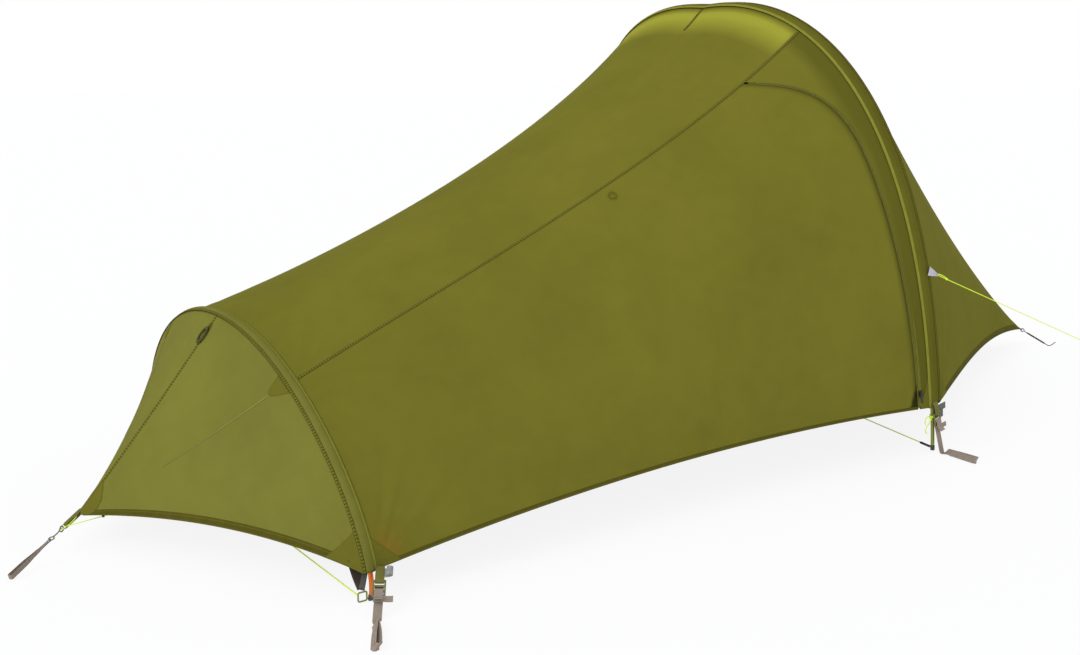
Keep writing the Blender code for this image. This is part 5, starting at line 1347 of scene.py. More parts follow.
# %% Steps for hard pieces
ALONG_X, ALONG_Y = Vector((1, 0, 0)), Vector((0, 1, 0))


def deselect():
    if bpy.context.mode != "OBJECT":
        bpy.ops.object.mode_set(mode="OBJECT")
    bpy.ops.object.select_all(action="DESELECT")


def edit(obj):
    bpy.context.view_layer.objects.active = obj
    obj.select_set(True)
    bpy.ops.object.mode_set(mode="EDIT")
    bpy.ops.mesh.select_mode(type="FACE")
    bpy.ops.mesh.select_all(action="SELECT")


def cut_at(places, axis):
    """Cuts the whole piece at places along an axis."""
    for where in places:
        bpy.ops.mesh.select_all(action="SELECT")
        bpy.ops.mesh.bisect(plane_co=axis * where, plane_no=axis)


def pick(obj, wanted):
    """Selects the faces that pass a test, and goes on editing."""
    bpy.ops.object.mode_set(mode="OBJECT")
    for face in obj.data.polygons:
        face.select = wanted(face)
    bpy.ops.object.mode_set(mode="EDIT")


def outwards():
    bpy.ops.mesh.select_all(action="SELECT")
    bpy.ops.mesh.normals_make_consistent(inside=False)


def cut_out(obj, wanted, height):
    """Deletes the faces that pass a test and pulls the rest up into a solid."""
    pick(obj, wanted)
    bpy.ops.mesh.delete(type="FACE")
    bpy.ops.mesh.select_all(action="SELECT")
    bpy.ops.mesh.extrude_region_move(TRANSFORM_OT_translate={"value": (0, 0, height)})
    outwards()


def keep_mesh(obj, finish):
    """Back to object mode, with the place moved into the mesh and the finish put on."""
    bpy.ops.object.mode_set(mode="OBJECT")
    obj.data.transform(obj.matrix_world)
    obj.matrix_world = Matrix.Identity(4)
    obj.data.materials.append(finish)
    obj.data.shade_smooth()
    obj.data.set_sharp_from_angle(angle=radians(40))


def round_edges(obj, width):
    rounding = obj.modifiers.new("rounding", "BEVEL")
    rounding.width, rounding.segments = width, 2
    rounding.limit_method = "ANGLE"
    apply_all(obj)


def copy_to(source, name, matrix, body, slot, nodes=()):
    made = add(name, source.data.copy())
    made.data.transform(matrix)
    if matrix.determinant() < 0:
        made.data.flip_normals()
    return settle(made, body, slot, nodes)


def placed(origin, x_axis, y_axis, z_axis):
    rows = np.eye(4)
    rows[:3, 0], rows[:3, 1], rows[:3, 2], rows[:3, 3] = x_axis, y_axis, z_axis, origin
    return Matrix(rows.tolist())


print("steps ready, in", bpy.context.mode.lower(), "mode")

# %% [markdown]
# The ladder-lock is moulded in one piece: a flat frame with rungs. It starts as a plane, is cut
# into a ladder of cells, loses the cells between its rungs, is extruded to its thickness and gets
# rounded edges. It is modelled once, and each corner gets a copy that is laid on its line.

# %% Ladder-lock buckle
deselect()
rungs = buckle_lines()
inside = WEBBING_WIDTH / 2 + 0.0007
bpy.ops.mesh.primitive_plane_add(size=1.0, location=(0, (rungs[0] + rungs[-1]) / 2, -BUCKLE_THICKNESS / 2))
ladder = bpy.context.object
ladder.scale = (BUCKLE_WIDTH, rungs[-1] - rungs[0], 1.0)
bpy.ops.object.transform_apply(location=True, scale=True)
edit(ladder)
cut_at(rungs[1:-1], ALONG_Y)
cut_at((-inside, inside), ALONG_X)
slots = [(rungs[i], rungs[i + 1]) for i in (1, 3, 5)]
cut_out(ladder, lambda face: abs(face.center.x) < inside and any(a < face.center.y < b for a, b in slots),
        BUCKLE_THICKNESS)
keep_mesh(ladder, buckle_plastic)
round_edges(ladder, 0.0007)
for corner, (line, ground) in corner_lines.items():
    matrix = placed(line.hinge, line.across, line.down, np.cross(line.across, line.down))
    copy_to(ladder, corner + "_ladder_lock", matrix, corner + "_anchor", "buckle_plastic",
            [corner + "_buckle"])
bpy.data.objects.remove(ladder, do_unlink=True)
print("ladder-locks:", len(corner_lines))

# %% [markdown]
# The upper strap goes once round the first rung, and its tail lies under the buckle. The peg strap
# goes round the third rung, runs to the ground and is twisted upright, where its end is sewn to a
# long loop that goes over the peg. A narrow tab lies across it below the buckle.

# %% Corner straps and peg straps
def peg_strap_route(line, ground, nearer):
    third = (rungs[4] + rungs[5]) / 2
    off = BAR_TURN
    path = [line.place(third + 0.021, off + 0.009), line.place(third + 0.015, off + 0.0025),
            line.place(third + 0.006, off)]
    path += line.turn(third, -off, pi, 0.0)
    end = line.place(rungs[-1] + 0.002, -off)
    ground = ground - line.out * nearer
    path += [line.place(third + 0.006, -off), end]
    sides = [line.across] * len(path)
    for share in (0.35, 0.7):
        path.append(end + (ground - end) * share)
        sides.append(line.across)
    lean = unit(UP * 0.80 + line.level * 0.60 * np.sign(line.level[0]))
    upright = WEBBING_WIDTH / 2 * lean[2] + WEBBING_THICKNESS
    twist_end = ground + line.out * 0.018
    twist_end[2] = upright
    flat = line.level * np.sign(line.level[0])
    for share, turned, lift in ((0.05, 0.0, 0.0), (0.35, 0.2, 0.12), (0.6, 0.5, 0.5), (0.8, 0.8, 0.8)):
        spot = ground + (twist_end - ground) * share
        spot[2] = ground[2] + (upright - ground[2]) * lift
        path.append(spot)
        sides.append(unit(flat + (lean - flat) * turned))
    long = PEG_LENGTH + nearer
    outline = [(0.0, 0.0), (PEG_HALF * 0.35, long * 0.22), (PEG_HALF * 0.8, long * 0.5)]
    outline += [(PEG_HALF * cos(a), long - PEG_HALF + PEG_HALF * sin(a)) for a in np.linspace(0, pi, 9)]
    outline += [(-PEG_HALF * 0.8, long * 0.5), (-PEG_HALF * 0.5, long * 0.25), (-0.0030, 0.008)]
    for sideways, ahead in outline:
        path.append(twist_end + line.level * sideways + line.out * ahead)
        sides.append(lean)
    return path, sides


def above_ground(obj):
    """Cloth that a bend would push under the floor is laid on it."""
    for vert in obj.data.vertices:
        vert.co.z = max(vert.co.z, ABOVE_GROUND)
    return obj


for corner, (line, ground) in corner_lines.items():
    top = 0.0015 - BUCKLE_DROP
    anchor = corner + "_anchor"
    route = [line.place(a, off) for a, off in ((top - 0.017, -0.0015), (top - 0.006, BAR_TURN * 0.8),
                                               (top / 2, BAR_TURN))]
    route += line.turn(0.0, BAR_TURN, 0.0, pi)
    route += [line.place(a, off) for a, off in ((top / 2, -BAR_TURN), (top - 0.006, -BAR_TURN),
                                                (top - 0.017, -0.0048))]
    strap(corner + "_upper_strap", route, line.across, WEBBING_WIDTH, WEBBING_THICKNESS, olive_webbing,
          slot="webbing_olive", nodes=[corner + "_corner_strap"])
    liner = [line.place(a, -BUCKLE_THICKNESS / 2 - 0.0009) for a in np.linspace(0.0056, 0.0138, 5)]
    strap(corner + "_strap_tail", liner, line.across, WEBBING_WIDTH, WEBBING_THICKNESS, olive_webbing,
          body=anchor, slot="webbing_olive")
    route, sides = peg_strap_route(line, ground, 0.014 if "foot" in corner else 0.0)
    above_ground(strap(corner + "_ground_strap", route, sides, WEBBING_WIDTH, WEBBING_THICKNESS,
                       brown_webbing, body=anchor, slot="webbing_brown", nodes=[corner + "_peg_strap"]))
    bar = line.place(rungs[-1] + 0.0045, BAR_TURN - 0.0012)
    reach = 1 if "near" in corner else -1
    cross = [bar + line.across * a * reach + line.face * 0.0006 * sin(a * 300)
             for a in np.linspace(-0.0085, 0.0235, 7)]
    strap(corner + "_cross_tab", cross, line.down, 0.0115, 0.0014, narrow_brown,
          body=anchor, slot="webbing_brown")
print("straps on four corners")

# %% [markdown]
# A pole is a set of tubes over one elastic cord. Each section is a tube that follows the arch, and
# every joint between two sections shows as a fine dark line. A tip with a collar closes both ends.

# %% Pole sections and tips
def arch_tube(name, arch, stations, radii, finish):
    s = np.asarray(stations)
    return round_tube(name, arch.at(s), np.broadcast_to(arch.headward, (len(s), 3)), arch.outward(s),
                      np.asarray(radii), s, 24, finish, ABOVE_GROUND)


pole_radius, TIP_NECK = POLE_DIAMETER / 2, 0.0150
for pole, arch, count, finish, slot in (("main", MAIN, 5, green_tube, "pole_green"),
                                        ("foot", FOOT, 3, orange_tube, "pole_orange")):
    step = arch.length / count
    for i in range(count):
        start = TIP_NECK if i == 0 else i * step + 0.0004
        end = arch.length - TIP_NECK if i == count - 1 else (i + 1) * step - 0.0002
        inner = np.linspace(start + 0.0006, end - 0.0006, 60)
        stations = np.concatenate([[start], inner, [end]])
        radii = np.concatenate([[pole_radius - 0.0004], np.full(60, pole_radius), [pole_radius - 0.0004]])
        node = pole + "_pole_section_" + str(i + 1)
        settle(arch_tube(pole + "_tube_" + str(i + 1), arch, stations, radii, finish), "tent", slot, [node])
    wide, neck = POLE_TIP_DIAMETER / 2, pole_radius * 0.94
    profile = [(0.0002, wide * 0.55), (0.0008, wide * 0.82), (0.0020, wide), (0.0092, wide),
               (0.0098, wide * 0.90), (0.0104, wide * 0.90), (0.0110, wide), (0.0122, wide),
               (0.0130, neck), (0.0165, neck)]
    for side in ("near", "far"):
        stations = [s if side == "near" else arch.length - s for s, r in profile]
        tip = arch_tube(pole + "_tip_" + side, arch, stations, [r for s, r in profile], tip_metal)
        settle(tip, "tent", "steel")
    for slot_of in frame["nodes"][pole + "_pole_shock_cord"].material_slots:
        slot_of.material = shock_cord_finish
print("pole tubes:", len([obj for obj in bpy.data.objects if "_tube_" in obj.name]))

# %% [markdown]
# The zip is a nylon coil sewn to a tape on each side of the opening. A coil is a real helix
# here, wound round the line of its edge.

# %% Zip tapes and coils
def zip_frame(t):
    """Away from the door across the zip, and out of the wall."""
    t = numbers(t)
    ahead = unit(zip_line(np.minimum(t + 0.01, 1.0)) - zip_line(np.maximum(t - 0.01, 0.0)))
    to_arch = main_leg(np.maximum(t, 0.1)) - fold_line(np.full_like(t, 0.5))
    normal = unit(np.cross(ahead, to_arch))
    normal = np.where(normal[..., 1:2] > 0, -normal, normal)
    across = unit(np.cross(normal, ahead))
    return np.where((across * to_arch).sum(-1, keepdims=True) < 0, -across, across), normal


def beside_line(t, across_by, out_by):
    across, normal = zip_frame(t)
    return zip_line(t) + across * across_by + normal * out_by


def zip_coil(name, sign):
    t = np.linspace(0.026, 0.992, 900)
    core = beside_line(t, sign * (ZIP_COIL_DIAMETER + ZIP_COIL_GAP) / 2 * 0.96, 0.0006)
    core = resample(core, 6400)
    across, normal = zip_frame(np.interp(np.arange(6400) / 6399, np.linspace(0, 1, 900), t))
    turn = run_length(core) * 2 * pi / 0.0015
    path = core + across * (0.00092 * np.cos(turn))[:, None] + normal * (0.00075 * np.sin(turn))[:, None]
    return tube(name, path, 0.00036, coil_plastic, 4)


settle(zip_coil("coil_on_strip", 1), "tent", "zip_coil", ["zip_coil_fixed"])
swing(settle(zip_coil("coil_on_door", -1), None, "zip_coil", ["zip_coil_door"]))
tape_stations = np.linspace(0.008, 0.998, 260)
for name, sign in (("tape_on_strip", 1), ("tape_on_door", -1)):
    edges = [beside_line(tape_stations, sign * a, -0.0010) for a in (0.0003, 0.0030, 0.0062, 0.0095)]
    facing = zip_frame(tape_stations)[1][None]
    made = settle(band(name, edges, tape_finish, 0.0005, facing), "tent" if sign > 0 else None, "zip_coil")
    if sign < 0:
        swing(made)
print("zip of", round(run_length(zip_line(np.linspace(0, 1, 300)))[-1], 3), "m")

# %% [markdown]
# The slider is cast metal: two plates joined by a wedge at their upper end, with a bridge on the
# outer one that holds the puller. It starts as a cube. Its sides are cut in by an inset and pushed
# inwards, which leaves the two plates, and the bridge is pulled out of the top face.

# %% Zip slider
SLIDER = (0.015, 0.009, 0.0032)
SLIDER_SHARE = 0.955
upper, lower = zip_line(SLIDER_SHARE - 0.16), zip_line(SLIDER_SHARE)
slide_along = unit(upper - lower)
slide_across, slide_out = zip_frame(SLIDER_SHARE)
slide_out = unit(slide_out - slide_along * float(slide_out @ slide_along))
slide_across = unit(np.cross(slide_along, slide_out))
if slide_across @ MAIN.headward < 0:
    slide_across = -slide_across
slider_place = lower + slide_across * (SLIDER[1] / 2 - 0.0005) + slide_out * 0.0046

deselect()
bpy.ops.mesh.primitive_cube_add(size=1.0)
slider = bpy.context.object
slider.scale = SLIDER
bpy.ops.object.transform_apply(scale=True)
edit(slider)
bpy.ops.mesh.subdivide(number_cuts=3)
bpy.ops.object.mode_set(mode="OBJECT")
for vert in slider.data.vertices:
    share = vert.co.x / SLIDER[0] + 0.5
    vert.co.y *= 0.66 + 0.34 * min(1.0, 0.25 + share)
pick(slider, lambda face: abs(face.normal.y) > 0.8 and abs(face.center.x) < SLIDER[0] * 0.55)
bpy.ops.mesh.inset(thickness=0.0007)
bpy.ops.mesh.extrude_region_shrink_fatten(TRANSFORM_OT_shrink_fatten={"value": -0.0012})
pick(slider, lambda face: (face.normal.z > 0.9 and abs(face.center.y) < 0.0012
                           and face.center.z > SLIDER[2] * 0.45))
bpy.ops.mesh.extrude_region_move(TRANSFORM_OT_translate={"value": (0, 0, 0.0009)})
outwards()
keep_mesh(slider, slider_metal)
round_edges(slider, 0.00035)
slider_axes = placed(slider_place, slide_along, slide_across, np.cross(slide_along, slide_across))
copy_to(slider, "slider_body", slider_axes, "zip_runner", "steel", ["zip_slider"])
bpy.data.objects.remove(slider, do_unlink=True)
print("slider at", [round(float(c), 3) for c in slider_place])

# %% [markdown]
# The puller is a flat plate with a slot for the bridge. It turns about the short bar beyond the
# slot, so it is drawn round the middle of that bar and then laid on the slider.

# %% Zip puller
PULLER_THICK, SLOT_HALF, SLOT_ENDS = 0.0016, 0.0016, (-0.0035, -0.0012)
out = np.cross(slide_along, slide_across)
out = out if out @ slide_out > 0 else -out
pin = slider_place + out * (SLIDER[2] / 2 + sqrt(0.0014 ** 2 + 0.0009 ** 2) + 0.0004) + slide_along * 0.003
deselect()
bpy.ops.mesh.primitive_plane_add(size=1.0, location=(0, -0.0113, -PULLER_THICK / 2))
puller = bpy.context.object
puller.scale = (0.006, 0.0254, 1.0)
bpy.ops.object.transform_apply(location=True, scale=True)
edit(puller)
cut_at(SLOT_ENDS, ALONG_Y)
cut_at((-SLOT_HALF, SLOT_HALF), ALONG_X)
cut_out(puller, lambda face: abs(face.center.x) < 0.001 and SLOT_ENDS[0] < face.center.y < SLOT_ENDS[1],
        PULLER_THICK)
keep_mesh(puller, slider_metal)
round_edges(puller, 0.0004)
puller_axes = placed(pin, slide_across, slide_along, np.cross(slide_across, slide_along))
copy_to(puller, "puller_plate", puller_axes, "zip_pull", "steel", ["zip_puller"])
bpy.data.objects.remove(puller, do_unlink=True)
print("puller hinge at", [round(float(c), 3) for c in pin])

# %% [markdown]
# Rings are wire bent round and closed, hooks are wire bent into an eye. A ring starts as a torus. A
# hook is a curve through the bends, given the wire's thickness and then made a mesh. The tail hook
# has a soft cover on its straight part.

# %% Rings, and the lines of nose and tail
def ring(name, centre, axis_x, axis_y, radius, wire, finish, body, slot, nodes, squeeze=1.0):
    deselect()
    bpy.ops.mesh.primitive_torus_add(major_radius=radius, minor_radius=wire / 2, major_segments=48,
                                     minor_segments=12)
    made = bpy.context.object
    edit(made)
    bpy.ops.transform.resize(value=(squeeze, 1.0, 1.0))
    keep_mesh(made, finish)
    made.data.transform(placed(centre, unit(axis_x), unit(axis_y), unit(np.cross(axis_x, axis_y))))
    made.name = name
    return settle(made, body, slot, nodes)


def bent_wire(name, knots, wire, finish, closed=False):
    """A wire through its bends: a curve with a round section, made a mesh."""
    path = curve_through(knots, 6, closed)
    curve = bpy.data.curves.new(name, "CURVE")
    curve.dimensions, curve.bevel_depth = "3D", wire / 2
    curve.bevel_resolution, curve.use_fill_caps = 3, True
    line = curve.splines.new("POLY")
    line.points.add(len(path) - 1)
    for target, spot in zip(line.points, path):
        target.co = (*spot, 1.0)
    line.use_cyclic_u = closed
    obj = add(name, curve)
    deselect()
    bpy.context.view_layer.objects.active = obj
    obj.select_set(True)
    bpy.ops.object.convert(target="MESH")
    obj = bpy.context.object
    edit(obj)
    bpy.ops.mesh.remove_doubles(threshold=MERGE)
    bpy.ops.mesh.normals_make_consistent(inside=False)
    keep_mesh(obj, finish)
    return obj


RING_WIRE, RING_RADIUS, TAIL_RING_RADIUS = 0.0022, 0.0070, 0.0055
HOOK_WIRE, HOOK_EYE, HOOK_LENGTH, EYE_SHIFT = 0.0024, 0.0048, 0.034, 0.0008
NOSE_STRAP_LENGTH = 0.032
nose_tip = point(NOSE_X - 0.002, 0.0, NOSE_HEIGHT)
nose_end = point(-1.548, -0.102, 0.0052)
nose_down = unit(nose_end - nose_tip)
nose_way = Line(nose_tip + nose_down * (NOSE_STRAP_LENGTH + 2 * RING_RADIUS), nose_down,
                unit(nose_down * [1, 1, 0]))
tail_tip = point(TAIL_X + 0.0018 + RING_WIRE / 2, 0.0, TAIL_HEIGHT)
tail_end = point(1.528, -0.075, HOOK_WIRE / 2 + ABOVE_GROUND)
tail_down = unit(tail_end - tail_tip)
tail_way = Line(tail_tip + tail_down * 2 * TAIL_RING_RADIUS, tail_down, unit(tail_down * [1, 1, 0]))
ring("nose_wire_ring", nose_way.place(-RING_RADIUS), nose_way.down, nose_way.across, RING_RADIUS, RING_WIRE,
     steel_wire, "tent", "steel", ["nose_ring"])
ring("tail_wire_ring", tail_way.place(-TAIL_RING_RADIUS), tail_way.down, tail_way.across, TAIL_RING_RADIUS,
     RING_WIRE, steel_wire, "tent", "steel", ["tail_ring"])


def eye_of(way, start, end, along, sideways=False):
    """The points of an eye, that stands on the line's face or lies across it."""
    made = []
    for a in np.linspace(start, end, 14):
        off, aside = (0.0, HOOK_EYE * sin(a)) if sideways else (HOOK_EYE * sin(a), 0.0)
        made.append(way.place(along + HOOK_EYE * cos(a), off, aside))
    return made


low_eye = HOOK_LENGTH - HOOK_EYE
route = eye_of(nose_way, 1.93 * pi, 0.20 * pi, EYE_SHIFT)
route += [nose_way.place(EYE_SHIFT + HOOK_EYE + 0.004), nose_way.place(low_eye - HOOK_EYE - 0.003)]
route += eye_of(nose_way, 1.15 * pi, 2.85 * pi, low_eye, True)
settle(bent_wire("nose_wire_hook", smooth_route(route, 60), HOOK_WIRE, steel_wire), "nose_anchor", "steel",
       ["nose_hook"])
far_along = float((tail_end - tail_way.hinge) @ tail_way.down)
route = eye_of(tail_way, 1.93 * pi, 0.20 * pi, EYE_SHIFT)
route += [tail_way.place(x) for x in (HOOK_EYE + 0.006, far_along * 0.55, far_along - 0.006, far_along)]
foot_of_hook = tail_way.place(far_along)
route.append(foot_of_hook + tail_way.out * 0.008 + tail_way.across * 0.006 + UP * 0.001)
route.append(foot_of_hook + tail_way.out * 0.020 + tail_way.across * 0.022 + UP * 0.008)
settle(bent_wire("tail_wire_hook", smooth_route(route, 56), HOOK_WIRE, dark_wire), "tail_anchor", "steel",
       ["tail_hook"])
cover = [tail_way.place(x) for x in np.linspace(HOOK_EYE + 0.010, far_along - 0.010, 12)]
thick = [0.0014, 0.0023, *[0.0025] * 8, 0.0023, 0.0014]
settle(tube("tail_hook_cover", cover, thick, sleeve_rubber, 12), "tail_anchor", "cord_black")
print("tail hook", round(far_along, 3), "m, nose hook", HOOK_LENGTH, "m")

# %% [markdown]
# At the nose an olive strap is folded through the ring, and a closed brown band hangs on the hook.
# It is twisted a quarter turn and opens into a loop for the peg.

# %% Nose strap and peg loop
bar, turn_radius = -2 * RING_RADIUS, RING_WIRE / 2 + 0.0022
top = bar - NOSE_STRAP_LENGTH + 0.0015
route = [nose_way.place(top - 0.014, turn_radius * 0.9), nose_way.place(top, turn_radius),
         nose_way.place((top + bar) / 2, turn_radius)]
route += nose_way.turn(bar, turn_radius, 0.0, pi)
route += [nose_way.place((top + bar) / 2, -turn_radius), nose_way.place(top, -turn_radius),
          nose_way.place(top - 0.010, -turn_radius * 0.9)]
strap("nose_folded_strap", route, nose_way.across, 0.0080, WEBBING_THICKNESS, olive_webbing,
      slot="webbing_olive", nodes=["nose_strap"])

BAND_NARROW, BAND_WIDE, LOOP_HALF, BAND_THICK = 0.0026, 0.0092, 0.0040, 0.0008
band_end = float((nose_end - nose_way.hinge) @ nose_way.down)
bend = HOOK_WIRE / 2 + 0.0008 + BAND_THICK / 2
stations = [(0.0, bend, 0.0, BAND_NARROW)]
for share, apart, quarter in ((0.12, 0.0013, 0.15), (0.24, 0.0011, 0.5), (0.36, 0.0013, 0.85),
                              (0.46, LOOP_HALF * 0.35, 1.0), (0.66, LOOP_HALF * 0.85, 1.0)):
    stations.append((share, apart, quarter, BAND_NARROW + (BAND_WIDE - BAND_NARROW) * min(1.0, 2 * share)))


def band_leg(sign):
    made = []
    for share, apart, quarter, width in stations:
        turned = quarter * pi / 2
        away = nose_way.face * cos(turned) + nose_way.across * sin(turned)
        side = nose_way.across * cos(turned) - nose_way.face * sin(turned)
        spot = nose_way.place(HOOK_LENGTH + (band_end - LOOP_HALF - HOOK_LENGTH) * share)
        spot = spot + away * apart * sign
        made.append((spot, side * sign, width))
    return made


route = band_leg(1)
for angle in np.linspace(0, pi, 9):
    spot = nose_way.place(band_end - LOOP_HALF + LOOP_HALF * sin(angle), 0.0, LOOP_HALF * cos(angle))
    route.append((spot, -nose_way.face, BAND_WIDE))
for spot, side, width in band_leg(-1)[::-1]:
    route.append((spot, -nose_way.face if width == BAND_WIDE else -side, width))
for angle in np.linspace(pi, 0, 7)[1:-1]:
    spot = nose_way.place(HOOK_LENGTH - bend * sin(angle), bend * cos(angle))
    route.append((spot, nose_way.across, BAND_NARROW))
spots, sides, widths = zip(*route)
above_ground(strap("nose_ground_loop", spots, sides, widths, BAND_THICK, narrow_brown, True, "nose_anchor",
                   "webbing_brown", ["nose_peg_loop"]))
print("nose band", round(band_end, 3), "m from hinge to peg")

# %% [markdown]
# A cord's real length is printed when it is made. The tie line at the nose, the cord between the
# two feet of the low arch, and the cords to the inner tent are all tight.

# %% Tight cords
def thin_cord(name, path, radius, closed=False, finish=lime_braid):
    """A short piece of cord: a loop, a loose end or part of a knot."""
    return settle(tube(name, path, radius, finish, 8, closed), "tent", "cord_lime")


def knot(name, centre, size, along, radius, finish=lime_braid):
    return thin_cord(name, knot_path(centre, size, along), radius, True, finish)


def tight_cord(name, path, diameter, finish, nodes=(), sides=10):
    obj = settle(tube(name, path, diameter / 2, finish, sides), "tent", "cord_lime", nodes)
    length = float(run_length(path)[-1])
    tuple(path[0])
    [tuple(p) for p in path]
    print(name, round(length, 3), "m")
    return obj


def straight(a, b, count=24):
    return mix(numbers(a), numbers(b), np.linspace(0, 1, count))


RING_HALF = 0.0080
ring_middle = point(FOOT.at(0.0)[0] - POLE_TIP_DIAMETER / 2 - RING_HALF - RING_WIRE / 2 - 0.0004,
                    FOOT.at(0.0)[1], RING_HALF + RING_WIRE / 2 + ABOVE_GROUND)
base_start = ring_middle + point(-RING_HALF, RING_WIRE / 2 + 0.0004, RING_HALF / 2)
tight_cord("base_cord", straight(base_start, base_start * FAR, 40), CORD_DIAMETER, lime_braid,
           ["foot_base_cord"])
for side, flip, spot in (("near", NEAR, FLOOR_CORNERS[1]), ("far", FAR, FLOOR_CORNERS[4])):
    foot = MAIN.at(0.0) * flip + UP * 0.0060
    corner = point(*spot, 0.0060)
    ahead = unit(corner - foot)
    first, last = foot + ahead * (POLE_TIP_DIAMETER / 2 + 0.0028), corner - ahead * 0.008
    tight_cord(side + "_inner_cord", straight(first, last), CORD_DIAMETER, lime_braid,
               [side + "_head_cord"])
    cover = first + ahead * np.array([0.0002, 0.0015, 0.0032, 0.017, 0.0320, 0.0345, 0.0365])[:, None]
    settle(tube(side + "_cord_cover", cover, [0.0016, 0.0026, 0.0028, 0.0028, 0.0028, 0.0024, 0.0014],
                sleeve_rubber, 14), "tent", "cord_black", [side + "_head_cord"])

# %% [markdown]
# The cord between the feet of the low arch ends in two squarish rings. A lime loop and a thin tie
# line hang at the nose, and the line is knotted with a dark cord.

# %% Square rings, and the loop and line at the nose
square = []
for quarter, (a, b) in enumerate(((1, 1), (-1, 1), (-1, -1), (1, -1))):
    for step in range(5):
        angle = (quarter + step / 4) * pi / 2
        square.append(point(a * 0.005 + 0.003 * cos(angle), 0, b * 0.005 + 0.003 * sin(angle)))
for side, flip in SIDES:
    made = bent_wire(side + "_square_ring", [ring_middle * flip + p for p in square], RING_WIRE * 1.25,
                     ring_braid, True)
    settle(made, "tent", "cord_lime", [side + "_base_ring"])

loop_knots = [nose_way.place(a, 0.0008, b) for a, b in (
    (-0.040, 0.0), (-0.034, 0.0042), (-0.016, 0.0060), (-0.002, 0.0044),
    (0.003, 0.0), (-0.002, -0.0044), (-0.016, -0.0060), (-0.034, -0.0042))]
thin_cord("nose_lime_loop", curve_through(loop_knots, 10, True), THIN_CORD, True)
tie_start, tie_end = nose_way.place(-0.004, 0.0024, 0.004), point(-1.034, 0.020, 0.060)
tie_path = smooth_route([tie_start, mix(tie_start, tie_end, 0.5), tie_end], 40)
tie_knot = knot("nose_tie_knot", tie_path[7], 0.0044, tie_path[8] - tie_path[6], THIN_CORD, dark_braid)
tight_cord("nose_tie_line", tie_path, 0.0016, lime_braid, ())

# %% [markdown]
# A white tab on the tall arch holds the guyline. The line is doubled through the tab, knotted a
# thumb's width out, and then runs straight to the ground, where it ends in a loop.

# %% Guyline
TAB_SHAPE = ((-0.005, 0.021), (0.0, 0.018), (0.009, 0.0140), (0.018, 0.0092), (0.026, 0.0052))
DOUBLED = ((-0.0022, -0.0006), (-0.0018, 0.0012), (0.002, 0.0026), (0.012, 0.0030), (0.022, 0.0024),
           (0.029, 0.0012))
END_LOOP = ((0.010, 0.0005), (0.022, 0.006), (0.034, 0.010), (0.044, 0.004), (0.044, -0.006),
            (0.034, -0.010), (0.022, -0.006), (0.014, -0.0035))
tab_s = MAIN.where_height(0.420)
tab_root = MAIN.beside(tab_s, MAIN_SLEEVE_HEAD_EDGE - 0.001, SLEEVE_OUTSIDE + 0.0006)
guy_ground = point(tab_root[0] + 1.060, tab_root[1] - 0.075, 0.0030)
guy_way = unit(guy_ground - tab_root)
tab_tip = tab_root + guy_way * 0.026
guy_side = unit(np.cross(guy_way, UP))
guy_lift = np.cross(guy_side, guy_way)
tab_down = MAIN.along(tab_s)
tab_across = unit(tab_down - guy_way * float(tab_down @ guy_way))
for side, flip in SIDES:
    rows = [[(tab_root + guy_way * a + tab_across * across * w / 2) * flip for a, w in TAB_SHAPE]
            for across in np.linspace(-1, 1, 9)]
    made = band(side + "_white_tab", rows, white_tape, 0.0012, np.cross(guy_way, tab_across) * flip)
    settle(made, "tent", "tab_white", [side + "_guy_tab"])

guy_first = tab_tip + guy_way * (0.0004 + GUY_DIAMETER / 2)
loop_points = [guy_ground + guy_way * a + guy_side * b for a, b in END_LOOP]
for spot in loop_points:
    spot[2] = 0.0030
guy_path = smooth_route(list(straight(guy_first, guy_ground, 12)) + loop_points, 200)

guy_knot = knot("guy_knot", guy_first + guy_way * 0.030, 0.0042, guy_way, THIN_CORD)
double = [guy_first + guy_way * a + tab_across * b + guy_lift * 0.0006 for a, b in DOUBLED]
guy_double = thin_cord("guy_doubled_strand", smooth_route(double, 24), THIN_CORD)
end_knot = knot("guy_end_knot", guy_ground + guy_way * 0.009 + UP * 0.0012, 0.0040, guy_way, THIN_CORD)
above_ground(end_knot)
print("guyline starts at", [round(float(c), 3) for c in guy_first])

# %% [markdown]
# The slider on the guyline is a short oval tube with a waist. It starts as an open cylinder, is
# divided along its length and drawn in, and gets a wall. The line itself is made after it, and the
# knots, the doubled part and the slider all ride on the line.

# %% Slider on the guyline
deselect()
bpy.ops.mesh.primitive_cylinder_add(vertices=32, radius=1.0, depth=0.030, end_fill_type="NOTHING")
guy_slide = bpy.context.object
edit(guy_slide)
bpy.ops.mesh.subdivide(number_cuts=4)
bpy.ops.object.mode_set(mode="OBJECT")
for vert in guy_slide.data.vertices:
    waist = 0.84 + 0.16 * (abs(vert.co.z) / 0.015) ** 2
    around = sqrt(vert.co.x ** 2 + vert.co.y ** 2)
    vert.co.x *= 0.0056 * waist / around
    vert.co.y *= 0.0037 * waist / around
inner_wall = guy_slide.modifiers.new("wall", "SOLIDIFY")
inner_wall.thickness, inner_wall.offset = 0.0016, -1.0
edit(guy_slide)
bpy.ops.mesh.normals_make_consistent(inside=False)
keep_mesh(guy_slide, buckle_plastic)
round_edges(guy_slide, 0.0004)
slide_spot = mix(tab_tip, guy_ground, 0.80)
guy_lock = copy_to(guy_slide, "guy_lock", placed(slide_spot, guy_side, guy_lift, guy_way), "guy_runner",
                   "buckle_plastic", ["guy_slider"])
bpy.data.objects.remove(guy_slide, do_unlink=True)
tight_cord("guyline", guy_path, GUY_DIAMETER, lime_braid, ["near_guyline"],
           sides=8)

# %% [markdown]
# Small loops finish the fly: a dark cord loop at the vent under the low arch, sewn to a patch, and
# a ring under the roof seam that the rolled-up door is tied to.

